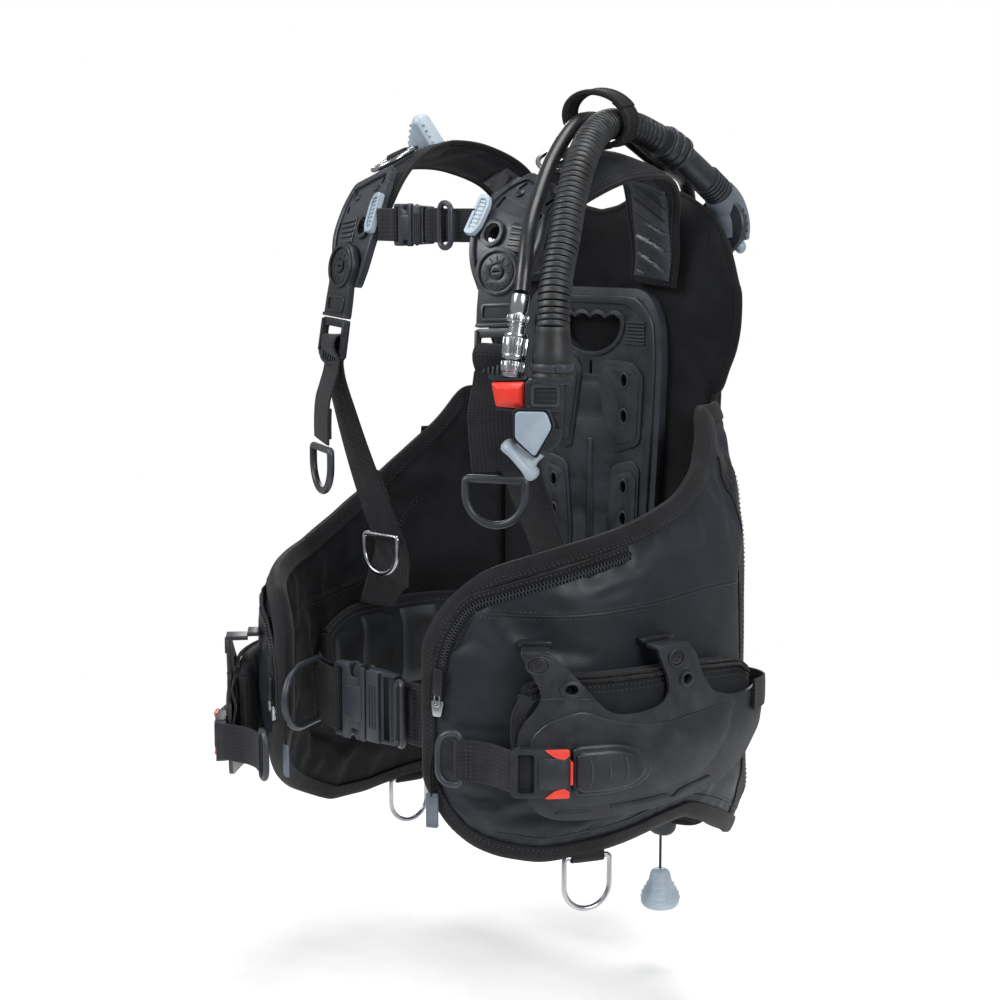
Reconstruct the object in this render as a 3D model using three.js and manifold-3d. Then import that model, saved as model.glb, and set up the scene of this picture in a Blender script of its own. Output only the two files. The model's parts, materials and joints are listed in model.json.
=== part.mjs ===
// A diver's buoyancy compensator vest: an air cell with two wrap-round lobes, a moulded back plate and
// harness, quick-release weight pouches, a power inflator on its hose, and the buckles, rings and dump
// valves that work it.
// Millimetres. +X is the wearer's left, +Y is behind the wearer and +Z is up.
// The origin is the middle of the tank seat, the flat rear face that the cylinder is strapped against.
import * as THREE from "three";
import { mergeVertices } from "three/addons/utils/BufferGeometryUtils.js";
import Module from "manifold-3d";

const wasm = await Module();
wasm.setup();

// Driving dimensions.
const GAP = 0.4; // clearance between neighbouring pieces
const WEBBING = { waist: 50, shoulder: 38, chest: 25, thick: 2.2 };
const PLATE = { front: -28, rear: -16, top: 187, bottom: -125 };
const CELL = { front: -15.7, rear: -6.3, bottom: -262, seam: 107.6, halfWidth: 134, wingTop: 96 };
const TANK_SEAT = { width: 96, height: 160, thick: 6, middle: 30 };
const BAND = { z: -85, halfLength: 104 };
const LOBE = { crown: 14, edge: 5, start: { left: -27, right: 0 }, skew: 18, lean: 0.26 };
const POUCH = { from: 46, to: 234, low: -184, high: -92, inner: 15, outer: 37 };
const PANEL = { from: 48, to: 236, inner: 38, outer: 42 };
const RELEASE = { low: -177, high: -141, inner: 42.6, outer: 54 };
const SHOULDER = { thick: 9, plateInner: 5.6, plateOuter: 10.6, pivot: 0.955, rightLift: 10 };
const CHEST = { y: -228, z: 240, halfLength: 42 };
const WAIST = { y: -252, z: -134, straight: 78 };
const HOSE = { radius: 13, lowPressureRadius: 5.6 };
const INFLATOR = { at: [134, -257, 122], turn: 35 };
const ELBOW = { radius: 11.5, valveAt: [104, 16.6, 238], valveRadius: 24, valveThick: 11 };
const TAIL = { x: 93, y: -247, end: { left: 62, right: 70 } };
const LOWER_DUMP = { x: 65, y: -5, knob: -343, cordTop: -263.5, cordEnd: -308.6, cordRadius: 1.3 };
const RING_WIRE = 2;

const v3 = (x, y, z) => new THREE.Vector3(x, y, z);
const mix = THREE.MathUtils.lerp;
const clamp = THREE.MathUtils.clamp;
const radians = THREE.MathUtils.degToRad;

// The value at a place in a table of [place, value] rows, straight between rows and level past the ends.
function read(table, place) {
  const next = table.findIndex((row) => row[0] >= place);
  if (next === 0) return table[0][1];
  if (next < 0) return table[table.length - 1][1];
  const [low, high] = [table[next - 1], table[next]];
  return mix(low[1], high[1], (place - low[0]) / (high[0] - low[0]));
}

// ---- Solids ----

function signedVolume(geometry) {
  const position = geometry.attributes.position;
  const corner = [v3(0, 0, 0), v3(0, 0, 0), v3(0, 0, 0)];
  let sum = 0;
  for (let i = 0; i < geometry.index.count; i += 3) {
    corner.forEach((c, k) => c.fromBufferAttribute(position, geometry.index.getX(i + k)));
    sum += corner[0].dot(corner[1].cross(corner[2]));
  }
  return sum / 6;
}

// The same geometry with its faces turned to point out.
function facingOut(geometry) {
  if (signedVolume(geometry) < 0) geometry.setIndex([...geometry.index.array].reverse());
  return geometry;
}

// A closed skin over a row of rings of points. A closed row joins its last ring to its first, and an open
// one is capped.
function loft(rings, closed = false) {
  const count = rings[0].length;
  const points = rings.flat();
  const index = [];
  const spans = closed ? rings.length : rings.length - 1;
  for (let i = 0; i < spans; i++) {
    const here = i * count;
    const there = ((i + 1) % rings.length) * count;
    for (let k = 0; k < count; k++) {
      const next = (k + 1) % count;
      index.push(here + k, here + next, there + next, here + k, there + next, there + k);
    }
  }
  const cap = (ring, turned) => {
    const start = ring * count;
    const hub = points.length;
    const middle = v3(0, 0, 0);
    rings[ring].forEach((point) => middle.addScaledVector(point, 1 / count));
    points.push(middle);
    for (let k = 0; k < count; k++) {
      const pair = [start + k, start + ((k + 1) % count)];
      index.push(hub, ...(turned ? pair : pair.reverse()));
    }
  };
  if (!closed) {
    cap(0, false);
    cap(rings.length - 1, true);
  }
  const geometry = new THREE.BufferGeometry().setFromPoints(points);
  geometry.setIndex(index);
  return facingOut(geometry);
}

function toManifold(geometry) {
  const bare = geometry.clone();
  bare.deleteAttribute("normal");
  bare.deleteAttribute("uv");
  const merged = mergeVertices(bare, 1e-4);
  return new wasm.Manifold(
    new wasm.Mesh({
      numProp: 3,
      vertProperties: new Float32Array(merged.attributes.position.array),
      triVerts: new Uint32Array(merged.index.array),
    }),
  );
}

function fromManifold(solid) {
  const mesh = solid.getMesh();
  const geometry = new THREE.BufferGeometry();
  geometry.setAttribute("position", new THREE.BufferAttribute(mesh.vertProperties, 3));
  geometry.setIndex(new THREE.BufferAttribute(mesh.triVerts, 1));
  return geometry;
}

const cut = (body, ...tools) =>
  fromManifold(tools.reduce((solid, tool) => solid.subtract(toManifold(tool)), toManifold(body)));
const join = (...bodies) => fromManifold(bodies.map(toManifold).reduce((all, body) => all.add(body)));

const box = (width, depth, height, x = 0, y = 0, z = 0) =>
  new THREE.BoxGeometry(width, depth, height).translate(x, y, z);

// A slab with the outline of the points, in the local X-Y plane, from one local Z to another.
function slab(points, low, high, holes = []) {
  const shape = new THREE.Shape(points.map(([x, y]) => new THREE.Vector2(x, y)));
  shape.holes = holes.map((hole) => new THREE.Path(hole.map(([x, y]) => new THREE.Vector2(x, y))));
  const geometry = new THREE.ExtrudeGeometry(shape, { depth: high - low, bevelEnabled: false });
  return geometry.translate(0, 0, low);
}

// Points round an ellipse, or round part of one, in degrees.
function arc(x, y, across, up, from, to, count) {
  return Array.from({ length: count }, (_, i) => {
    const angle = radians(mix(from, to, i / (count - 1)));
    return [x + across * Math.cos(angle), y + up * Math.sin(angle)];
  });
}

const oval = (x, y, across, up, count) => arc(x, y, across, up, 0, 360, count + 1).slice(0, count);

// A rectangle with its corners cut, as [a, b] pairs.
function softBox(a0, a1, b0, b1, corner) {
  return [
    [a0 + corner, b0], [a1 - corner, b0], [a1, b0 + corner], [a1, b1 - corner],
    [a1 - corner, b1], [a0 + corner, b1], [a0, b1 - corner], [a0, b0 + corner],
  ];
}

const squareBox = (a0, a1, b0, b1) => [[a0, b0], [a1, b0], [a1, b1], [a0, b1]];

// A strip of webbing or padding along a path. across(t) is its width's direction, and the ring of [a, b]
// pairs gives its section, a across the width and b out of its face.
function ribbon({ path, across, section, from = 0, to = 1, steps }) {
  const rings = [];
  for (let i = 0; i <= steps; i++) {
    const t = mix(from, to, i / steps);
    const frame = frameOn(path, across, t);
    rings.push(section(t).map(([a, b]) => pointIn(frame, a, b, 0)));
  }
  return loft(rings);
}

function frameOn(path, across, t) {
  const tangent = path.getTangentAt(t);
  const width = across(t).clone();
  width.addScaledVector(tangent, -width.dot(tangent)).normalize();
  const out = tangent.clone().cross(width);
  return { at: path.getPointAt(t), width, out, up: tangent.clone().negate() };
}

const pointIn = (frame, a, b, c) =>
  frame.at.clone().addScaledVector(frame.width, a).addScaledVector(frame.out, b).addScaledVector(frame.up, c);

// A group whose local X, Y and Z are a frame's width, up and out directions.
function seat(frame) {
  const group = new THREE.Group();
  const x = frame.up.clone().cross(frame.out);
  group.position.copy(frame.at);
  group.quaternion.setFromRotationMatrix(new THREE.Matrix4().makeBasis(x, frame.up, frame.out));
  return group;
}

// A round tube along a path, for a hose or a cord.
function tube(points, radius, sides, steps) {
  const path = new THREE.CatmullRomCurve3(points.map((p) => v3(...p)));
  const section = new THREE.Shape(oval(0, 0, radius, radius, sides).map(([x, y]) => new THREE.Vector2(x, y)));
  return new THREE.ExtrudeGeometry(section, { steps, extrudePath: path, bevelEnabled: false });
}

// A loop of round wire through [x, y] points in the local X-Y plane.
function wireLoop(points, wire, sides = 6) {
  const rings = points.map(([x, y], i) => {
    const [before, after] = [points.at(i - 1), points[(i + 1) % points.length]];
    const aside = v3(after[1] - before[1], before[0] - after[0], 0).normalize();
    return oval(0, 0, wire, wire, sides).map(([a, b]) => v3(x, y, b).addScaledVector(aside, a));
  });
  return loft(rings, true);
}

// A D-ring hanging from its straight bar, which lies along local X through the origin.
function dRing(width, height, wire = RING_WIRE) {
  const half = width / 2;
  const bar = [[-half + 3, 0], [half - 3, 0], [half, -3]];
  const bow = arc(0, -height + half, half, half, 0, -180, 9);
  return wireLoop([...bar, ...bow, [-half, -3]], wire);
}

// ---- Materials and the tree of parts ----

const FINISHES = {
  nylon: [0x17181b, 0.85, 0],
  laminate: [0x2b3038, 0.6, 0],
  padding: [0x1c1e22, 0.8, 0],
  webbing: [0x202226, 0.75, 0],
  moulded: [0x25282d, 0.5, 0],
  rubber: [0x1b1d20, 0.55, 0],
  grip: [0xa5b4c0, 0.45, 0],
  signal: [0xeb4637, 0.4, 0],
  chrome: [0xd8dbde, 0.15, 1],
  steel: [0xb9bcc0, 0.25, 1],
  silicone: [0xb3c0ca, 0.5, 0],
};

const vest = new THREE.Group();
const halves = { left: new THREE.Group(), right: new THREE.Group() };
halves.right.scale.x = -1;
vest.add(halves.left, halves.right);

function part(name, geometry, finish, parent = vest) {
  const [color, roughness, metalness] = FINISHES[finish];
  const mesh = new THREE.Mesh(geometry, new THREE.MeshStandardMaterial({ color, roughness, metalness }));
  mesh.name = name;
  parent.add(mesh);
}

// ---- Air cell ----

const cellRear = [[50, CELL.rear], [60, -4], [72, 2], [85, 8], [100, 10], [115, 8], [125, 4], [134, 0]];
const cellTop = [
  [0, 250], [20, 254], [35, 262], [60, 270], [80, 264],
  [95, 255], [110, 243], [120, 228], [128, 208], [134, 182],
];
const cellFoot = [[CELL.seam, CELL.bottom], [108.4, 99], [116, 106], [123, 122], [130, 138], [134, 158]];

// The back of the cell, between the back plate and the tank: thin in the middle, full at its sides.
function airCellBack() {
  const half = [0, 20, 35, 50, 60, 72, 85, 97, CELL.seam, 108.4, 116, 123, 130, CELL.halfWidth];
  const stations = [...half.slice(1).reverse().map((x) => -x), ...half];
  const rings = stations.map((x) => {
    const from = Math.abs(x);
    const rear = read(cellRear, from);
    const front = mix(CELL.front, -6, clamp((from - 90) / 44, 0, 1));
    const [low, high] = [read(cellFoot, from), read(cellTop, from)];
    return softBox(front, rear, low, high, Math.min(4, (rear - front) / 2 - 0.2)).map(([y, z]) => v3(x, y, z));
  });
  return loft(rings);
}

// The lobes follow one path round the wearer, from the front edge to the seam with the back of the cell.
const lobePath = new THREE.CatmullRomCurve3(
  [
    [68, -299], [93, -287], [122, -270], [150, -245], [172, -205],
    [180, -150], [177, -92], [163, -50], [138, -18], [107, -3],
  ].map(([x, y]) => v3(x, y, 0)),
);
lobePath.arcLengthDivisions = 400;
const LOBE_AHEAD = 27.7; // path length in front of place 0
const LOBE_END = lobePath.getLength() - LOBE_AHEAD - 9; // clear of the back of the cell
// The outline of each lobe as it hangs, as [place, z] rows: its top edge under the arm and its bottom edge.
const lobeTop = {
  left: [
    [-27, -66], [-22, -50], [-12, -34], [0, -22], [14, -10], [32, -2],
    [72, 10], [130, 24], [184, 38], [230, 60], [268, 88], [285, CELL.wingTop],
  ],
  right: [
    [0, -84], [6, -66], [20, -50], [58, -40], [128, -28],
    [170, -10], [206, 10], [250, 46], [278, 68], [300, CELL.wingTop],
  ],
};
const lobeFoot = {
  left: [
    [-27, -158], [-20, -178], [-8, -196], [10, -210], [30, -217], [60, -221],
    [102, -216], [158, -208], [192, -206], [240, -226], [290, -248], [330, -256],
  ],
  right: [
    [0, -146], [14, -170], [34, -192], [60, -210], [102, -234],
    [158, -260], [202, -262], [250, -256], [290, -252], [330, -256],
  ],
};

// The vest hangs a little skewed: what is sewn on the left lobe rides up, and what is on the right one drops.
const skew = (side, place) => (side === "left" ? 1 : -1) * LOBE.skew * clamp((300 - place) / 150, 0, 1);

// A frame on a lobe: place is the distance back from the front edge, out is away from the wearer. Above the
// waist the lobe leans in towards the armhole, the more so at the back.
function onLobe(side, place, z) {
  const t = clamp((place + LOBE_AHEAD) / lobePath.getLength(), 0, 1);
  const at = lobePath.getPointAt(t);
  const back = lobePath.getTangentAt(t);
  const out = v3(back.y, -back.x, 0);
  const share = clamp((place - 130) / 110, 0, 1) * clamp((LOBE_END - place) / 40, 0, 1);
  const lean = LOBE.lean * Math.max(0, z) * share;
  return { at: v3(at.x, at.y, z).addScaledVector(out, -lean), width: back, out, up: v3(0, 0, 1) };
}

// A solid that follows a lobe. section(place) gives a ring of [out, z] pairs.
function lobeBand(side, from, to, steps, section) {
  const rings = [];
  for (let i = 0; i <= steps; i++) {
    const place = mix(from, to, i / steps);
    rings.push(section(place).map(([out, z]) => pointIn(onLobe(side, place, z), 0, out, 0)));
  }
  return loft(rings);
}

// A band of something sewn on a lobe, whose heights are given before the lobe's skew.
function sewnBand(side, from, to, steps, section) {
  return lobeBand(side, from, to, steps, (place) =>
    section(place).map(([out, z]) => [out, z + skew(side, place)]));
}

function lobe(side) {
  const start = LOBE.start[side];
  return lobeBand(side, start, LOBE_END, 22, (place) => {
    const half = mix(LOBE.edge, LOBE.crown, Math.sqrt(clamp((place - start) / 40, 0, 1)));
    const [foot, top] = [read(lobeFoot[side], place), read(lobeTop[side], place)];
    const soft = softBox(-half, half, foot, top, half * 0.6);
    const middle = (foot + top) / 2;
    return [...soft.slice(0, 3), [half, middle], ...soft.slice(3, 7), [-half, middle], soft[7]];
  });
}

// ---- Back plate, tank seat and tank band ----

function backPlate() {
  const half = [
    [46, PLATE.bottom], [56, -108], [66, -40], [72, 60], [75, 130], [73, 160], [64, 180], [52, PLATE.top],
  ];
  const outline = [...half, ...half.map(([x, z]) => [-x, z]).reverse()];
  const grip = [...arc(20, 151, 14, 17, -90, 90, 7), ...arc(-20, 151, 14, 17, 90, 270, 7)];
  return slab(outline, -PLATE.rear, -PLATE.front, [grip]).rotateX(Math.PI / 2);
}

function tankBand() {
  const reach = [-BAND.halfLength, -85, -72, -60, -50, 0, 50, 60, 72, 85, BAND.halfLength];
  const path = new THREE.CatmullRomCurve3(reach.map((x) => v3(x, read(cellRear, Math.abs(x)) + 2.2, BAND.z)));
  const half = WEBBING.waist / 2;
  const section = () => squareBox(-half, half, -WEBBING.thick / 2, WEBBING.thick / 2);
  return ribbon({ path, across: () => v3(0, 0, 1), section, steps: 18 });
}

// ---- Shoulder straps and harness ----

// One path up from the back plate, over the shoulder and down the chest, and the width's direction along it.
function shoulderPath(side) {
  const lift = side === "right" ? SHOULDER.rightLift : 0;
  return new THREE.CatmullRomCurve3([
    v3(64, -23, 190), v3(67, -24, 216), v3(68, -29, 243 + lift / 3), v3(78, -46, 267 + lift),
    v3(92, -78, 283 + lift), v3(100, -110, 286 + lift), v3(99, -143, 280 + lift), v3(90, -176, 264 + lift),
    v3(80, -201, 245 + lift / 2), v3(78, -214, 221), v3(80, -219, 190),
  ]);
}

const strapAcross = (t) => {
  const [rear, top, front] = [v3(1, 0, 0), v3(0.94, 0, -0.34), v3(0.966, 0.259, 0)];
  return t < 0.5 ? rear.lerp(top, t * 2) : top.lerp(front, t * 2 - 1);
};
const strapWidth = [[0, 44], [0.15, 50], [0.35, 60], [0.5, 62], [0.75, 56], [0.88, 48]];
const harnessWidth = [[0.72, 42], [0.79, 54], [0.88, 62], [0.95, 50], [1, 36]];

const shoulderFrame = (side, t) => frameOn(shoulderPath(side), strapAcross, t);

// A strip on the shoulder strap's path, between two heights above its middle.
function onShoulder(side, from, to, steps, widths, inner, outer, corner) {
  const section = (t) => {
    const half = read(widths, t) / 2;
    return softBox(-half, half, inner, outer, corner);
  };
  return ribbon({ path: shoulderPath(side), across: strapAcross, section, from, to, steps });
}

// The swivel buckle's disc turns on the harness plate, and its body hangs below.
function swivelBuckle() {
  const disc = arc(0, 0, 19, 19, -30, 210, 11);
  return slab([...disc, [-17, -40], [17, -40]], GAP, 8.4);
}

function ladderBuckle() {
  const outline = [[-17.5, -41], [-18, -70], ...arc(0, -70, 16, 8, 180, 360, 7), [18, -70], [17.5, -41]];
  return slab(outline, 1, 7, [squareBox(-12, 12, -64, -48)]);
}

function strapTail(side) {
  const path = new THREE.CatmullRomCurve3([
    v3(87, -247, 150), v3(89, -249, 122), v3(91, -248, 92), v3(TAIL.x, TAIL.y, TAIL.end[side]),
  ]);
  return webbingStrip(path, () => v3(0.9, 0.43, 0), WEBBING.shoulder - 2, 5);
}

function webbingStrip(path, across, width, steps) {
  const section = () => squareBox(-width / 2, width / 2, -WEBBING.thick / 2, WEBBING.thick / 2);
  return ribbon({ path, across, section, steps });
}

function shoulderWebbing(side) {
  const nearer = side === "right" ? 12 : 0; // the right one hangs closer to the middle
  const path = new THREE.CatmullRomCurve3([
    v3(87, -237, 126), v3(89 - nearer / 3, -228, 92), v3(92 - nearer * 0.7, -213, 50), v3(95 - nearer, -194, 6),
    v3(97 - nearer, -178, -25), v3(112 - nearer / 2, -160, -54), v3(134, -140, -80),
  ]);
  const across = (t) => v3(0.9, 0.43, 0).lerp(v3(1, 0, 0), clamp(t * 2, 0, 1));
  return webbingStrip(path, across, WEBBING.shoulder - 2, 14);
}

// ---- Waist and chest ----

function cummerbund() {
  const path = new THREE.CatmullRomCurve3([
    v3(84, -34, -127), v3(116, -50, -127), v3(139, -84, -127),
    v3(146, -130, -127), v3(143, -180, -127), v3(129, -214, -127),
  ]);
  const section = (t) => {
    const half = mix(43, 30, clamp((t - 0.75) * 4, 0, 1));
    return softBox(-half, half, -5, 5, 3);
  };
  return ribbon({ path, across: () => v3(0, 0, 1), section, steps: 10 });
}

function waistWebbing() {
  const end = [[WAIST.straight, WAIST.y], [100, -242], [119, -229]];
  const reach = [...end.map(([x, y]) => [-x, y]).reverse(), [0, WAIST.y], ...end];
  const half = WEBBING.thick / 2;
  const section = squareBox(-half, half, -WEBBING.waist / 2, WEBBING.waist / 2);
  const rings = reach.map(([x, y]) => section.map(([b, c]) => v3(x, y + b, WAIST.z + c)));
  return loft(rings);
}

// A buckle half that its webbing runs through, along X.
function buckleHalf(from, to, y, z, height, thick, webbing) {
  const length = to - from;
  const body = box(length, thick, height, from + length / 2, y, z);
  return cut(body, box(length + 2, WEBBING.thick + 1.4, webbing + 2, from + length / 2, y, z));
}

// ---- Weight pouches ----

function weightPouch(side) {
  return sewnBand(side, POUCH.from, POUCH.to, 12, (place) => {
    const ends = clamp(Math.min(place - POUCH.from, POUCH.to - place) / 22, 0, 1);
    const outer = mix(POUCH.outer - 12, POUCH.outer, Math.sqrt(ends));
    const [low, high] = [mix(POUCH.low + 10, POUCH.low, ends), mix(POUCH.high - 10, POUCH.high, ends)];
    return softBox(POUCH.inner, outer, low, high, 5);
  });
}

// The moulded panel that carries the pouch, with two arms that hook over its top edge.
function weightPanel(side) {
  const low = [[48, -150], [58, -184], [80, -196], [160, -192], [210, -172], [236, -150]];
  const high = [[48, -124], [70, -118], [110, -128], [150, -118], [200, -112], [236, -118]];
  const sheet = (from, to, steps, foot, top) =>
    sewnBand(side, from, to, steps, (place) =>
      squareBox(PANEL.inner, PANEL.outer, foot(place), top(place)));
  const body = sheet(PANEL.from, PANEL.to, 12, (place) => read(low, place), (place) => read(high, place));
  const arms = [54, 134].map((start) =>
    sheet(start, start + 24, 2, () => -135, (place) => -76 - (place - start) * 0.5));
  return join(body, ...arms);
}

// The frame that the release plugs into, and the release with its ribbed pull.
const receiver = (side) =>
  sewnBand(side, 42, 72, 4, () => softBox(RELEASE.inner, RELEASE.outer, RELEASE.low, RELEASE.high, 3));
const release = (side) =>
  sewnBand(side, 73.5, 120, 5, (place) => {
    const taper = clamp((place - 95) / 25, 0, 1) * 5;
    return softBox(RELEASE.inner + 0.6, RELEASE.outer - 1, RELEASE.low + taper, RELEASE.high - taper, 3);
  });

// ---- Inflator and hoses ----

const hoseRoute = [
  [147.5, -246, 174.5], [145, -242, 190], [141, -234, 208], [137, -223, 229], [129, -206, 257],
  [118, -180, 288], [103, -146, 308], [95, -118, 316], [96, -90, 314], [100, -67, 306],
];
const lowPressureRoute = [
  [123.6, -252.6, 194], [121, -247, 212], [113, -233, 237], [104, -214, 258], [91, -182, 288], [80, -144, 314],
  [74, -118, 321], [71, -88, 316], [70, -58, 303], [70, -30, 290], [69, -8, 284], [68, 12, 275], [67, 21, 255],
  [66, 21, 225], [66, 16, 180], [66, 12, 120], [66, 11, 50], [66, 11, -20],
];

// A stack of round steps as [radius, height] pairs, along local Y.
function turned(profile) {
  const sides = 14;
  const points = profile.map(([radius, height]) => new THREE.Vector2(radius, height));
  return facingOut(mergeVertices(bareOf(new THREE.LatheGeometry(points, sides)), 1e-4));
}

function bareOf(geometry) {
  geometry.deleteAttribute("normal");
  geometry.deleteAttribute("uv");
  return geometry;
}

const shieldOutline = (grow) => [
  [-8 - grow, -11 + grow], [14 + grow, -11 + grow], [18 + grow, -22], [6, -43 - grow], [-8 - grow, -30],
];

function inflatorBody() {
  const head = box(27, 22, 24, 12.5, 0, 0);
  const core = box(26, 20, 7, -12, 0, -8.5);
  const barrel = new THREE.CylinderGeometry(17, 17, 24, 16).rotateX(Math.PI / 2).translate(8.5, -25, 0);
  const cuff = new THREE.CylinderGeometry(15, 16, 38, 14).translate(17, 29, 0);
  const recess = slab(shieldOutline(0.8), 8.2, 14);
  return cut(join(head, core, barrel, cuff), recess);
}

function inflatorGroup() {
  const turn = radians(INFLATOR.turn);
  const out = v3(Math.sin(turn), -Math.cos(turn), 0);
  return seat({ at: v3(...INFLATOR.at), up: v3(0, 0, 1), out });
}

// The mouthpiece's lip is an oval ring that opens down and towards the wearer's middle.
function mouthpiece() {
  const lip = slab(oval(0, 0, 20, 13, 16), -4.5, 4.5, [oval(0, 0, 14, 7, 16).reverse()]);
  return lip.rotateY(Math.PI / 2).rotateX(Math.PI / 2).rotateZ(radians(41)).translate(-6, -47, 0);
}

function couplerGroup() {
  const [foot, head] = [v3(124, -264, 133.6), v3(123.7, -253.4, 192.6)];
  const up = head.clone().sub(foot).normalize();
  const out = v3(0.57, -0.82, 0);
  out.addScaledVector(up, -out.dot(up)).normalize();
  return seat({ at: foot, up, out });
}

const coupler = () =>
  turned([
    [0, 0], [8, 0], [8, 3], [10, 4], [10, 12], [7, 12.5],
    [7, 38], [10, 39], [10, 52], [8, 53], [8, 59.5], [0, 59.5],
  ]);

// The sleeve slides back on the coupler's waist to let the hose go.
function sleeve() {
  const outside = turned([[0, 13.2], [9.2, 13.2], [10.6, 15], [10.6, 30], [9.2, 31.5], [0, 31.5]]);
  const bore = turned([[0, 12], [7.3, 12], [7.3, 33], [0, 33]]);
  return cut(outside, bore);
}

// The collar holds both hoses on the shoulder: an oval band round them.
function collarGroup() {
  const along = v3(-0.12, 0.98, 0.12).normalize();
  const width = v3(1, 0.1, -0.25);
  width.addScaledVector(along, -width.dot(along)).normalize();
  return seat({ at: v3(86, -119, 320), up: along.clone().cross(width), out: along });
}

const collar = () => slab(oval(0, 0, 29.5, 21.4, 18), -8, 8, [oval(0, 0, 26.4, 18.4, 18).reverse()]);

// The rigid elbow runs from the hose's rear end over the shoulder to the valve on the back of the cell.
function elbow() {
  const route = [
    [100.8, -62, 304], [102, -46, 297], [103, -22, 284], [104, -2, 272], [105, 14, 261], [105, 26, 246],
  ];
  const pipe = tube(route, ELBOW.radius, 12, 10);
  const valve = new THREE.CylinderGeometry(ELBOW.valveRadius, ELBOW.valveRadius, ELBOW.valveThick, 18);
  valve.translate(...ELBOW.valveAt);
  return join(pipe, valve);
}

// ---- Dump valves ----

const dumpKnob = () => turned([[0, 0], [15, 0], [17, 4], [17, 12], [10, 24], [7, 33], [0, 34]]);

function shoulderKnob() {
  const crown = arc(0, 24, 6, 6, 30, 150, 4);
  const feet = [...arc(-13, 4, 4, 4, 150, 270, 4), ...arc(13, 4, 4, 4, -90, 30, 4)];
  return slab([...crown, ...feet], -8, 8);
}

// ---- Assembly ----

part("air_cell_back", airCellBack(), "nylon");
part("back_plate", backPlate(), "moulded");
const { width, thick, height, middle } = TANK_SEAT;
const tankPad = box(width, thick, height, 0, -thick / 2, middle);
part("tank_pad", tankPad, "rubber");
part("tank_band", tankBand(), "webbing");
part("cam_buckle_frame", box(62, 4, 56, 0, 0.8, BAND.z), "moulded");
part("cam_buckle_lever", box(56, 4, 50, 2, 6, BAND.z), "moulded");

for (const side of ["left", "right"]) {
  const half = halves[side];
  part(`air_cell_${side}`, lobe(side), "laminate", half);
  const face = SHOULDER.thick / 2;
  part(`shoulder_strap_${side}`, onShoulder(side, 0, 0.88, 18, strapWidth, -face, face, 3), "padding", half);
  part(`harness_plate_${side}`,
    onShoulder(side, 0.72, 1, 8, harnessWidth, SHOULDER.plateInner, SHOULDER.plateOuter, 2), "moulded", half);

  const pivotFrame = shoulderFrame(side, SHOULDER.pivot);
  pivotFrame.at.addScaledVector(pivotFrame.out, SHOULDER.plateOuter);
  const pivot = seat(pivotFrame);
  half.add(pivot);
  part(`swivel_buckle_${side}`, swivelBuckle(), "moulded", pivot);
  part(`ladder_buckle_${side}`, ladderBuckle(), "moulded", pivot);
  part(`strap_tail_${side}`, strapTail(side), "webbing", half);
  part(`shoulder_webbing_${side}`, shoulderWebbing(side), "webbing", half);

  const tailEnd = v3(TAIL.x, TAIL.y, TAIL.end[side] - 6);
  const loopSeat = seat({ at: tailEnd, up: v3(0, 0, 1), out: v3(0.43, -0.9, 0).normalize() });
  half.add(loopSeat);
  part(`pull_loop_${side}`, dRing(46, 34, 3), "moulded", loopSeat);

  const ringFrame = shoulderFrame(side, 0.61);
  ringFrame.at.addScaledVector(ringFrame.out, 7.4).addScaledVector(ringFrame.width, side === "left" ? -20 : 0);
  const ringSeat = seat(ringFrame);
  half.add(ringSeat);
  part(`shoulder_ring_${side}`, dRing(36, 27), "steel", ringSeat);

  const webRing = seat({ at: v3(side === "left" ? 96 : 84, -191, -12), up: v3(0, 0, 1), out: v3(0, -1, 0) });
  half.add(webRing);
  part(`webbing_ring_${side}`, dRing(38, 32), "steel", webRing);

  const hangPlace = side === "left" ? 96 : 252;
  const hang = seat(onLobe(side, hangPlace, read(lobeFoot[side], hangPlace) - 4));
  half.add(hang);
  part(`bottom_ring_${side}`, dRing(36, 40), "steel", hang);

  const sliderFrame = shoulderFrame(side, 0.85);
  sliderFrame.at.addScaledVector(sliderFrame.out, SHOULDER.plateOuter).addScaledVector(sliderFrame.width, -27);
  const slider = seat(sliderFrame);
  half.add(slider);
  part(`chest_slider_${side}`, slab(softBox(-6, 6, -17, 17, 3), GAP, 6), "grip", slider);

  part(`cummerbund_${side}`, cummerbund(), "padding", half);
  part(`weight_pouch_${side}`, weightPouch(side), "nylon", half);
  part(`weight_panel_${side}`, weightPanel(side), "moulded", half);
  part(`pouch_receiver_${side}`, receiver(side), "moulded", half);
  part(`pouch_release_${side}`, release(side), "moulded", half);
}

part("chest_webbing",
  box(2 * CHEST.halfLength, WEBBING.thick, WEBBING.chest, 0, CHEST.y, CHEST.z), "webbing");
part("chest_buckle_female", buckleHalf(-26, -6, CHEST.y, CHEST.z, 32, 10, WEBBING.chest), "moulded");
part("chest_buckle_male", buckleHalf(-5.5, 12, CHEST.y, CHEST.z, 30, 9, WEBBING.chest), "moulded");
part("waist_webbing", waistWebbing(), "webbing");
part("waist_buckle_female", buckleHalf(-72, -35, WAIST.y, WAIST.z, 60, 14, WEBBING.waist), "moulded");
part("waist_buckle_male", buckleHalf(-34.5, -4, WAIST.y, WAIST.z, 58, 12, WEBBING.waist), "moulded");

const inflator = inflatorGroup();
vest.add(inflator);
part("inflator_body", inflatorBody(), "moulded", inflator);
part("inflate_button", box(24, 19, 13, -13.8, 0, 5.2), "signal", inflator);
part("purge_button", slab(shieldOutline(0), 12, 17), "grip", inflator);
part("mouthpiece", mouthpiece(), "silicone", inflator);

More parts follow.
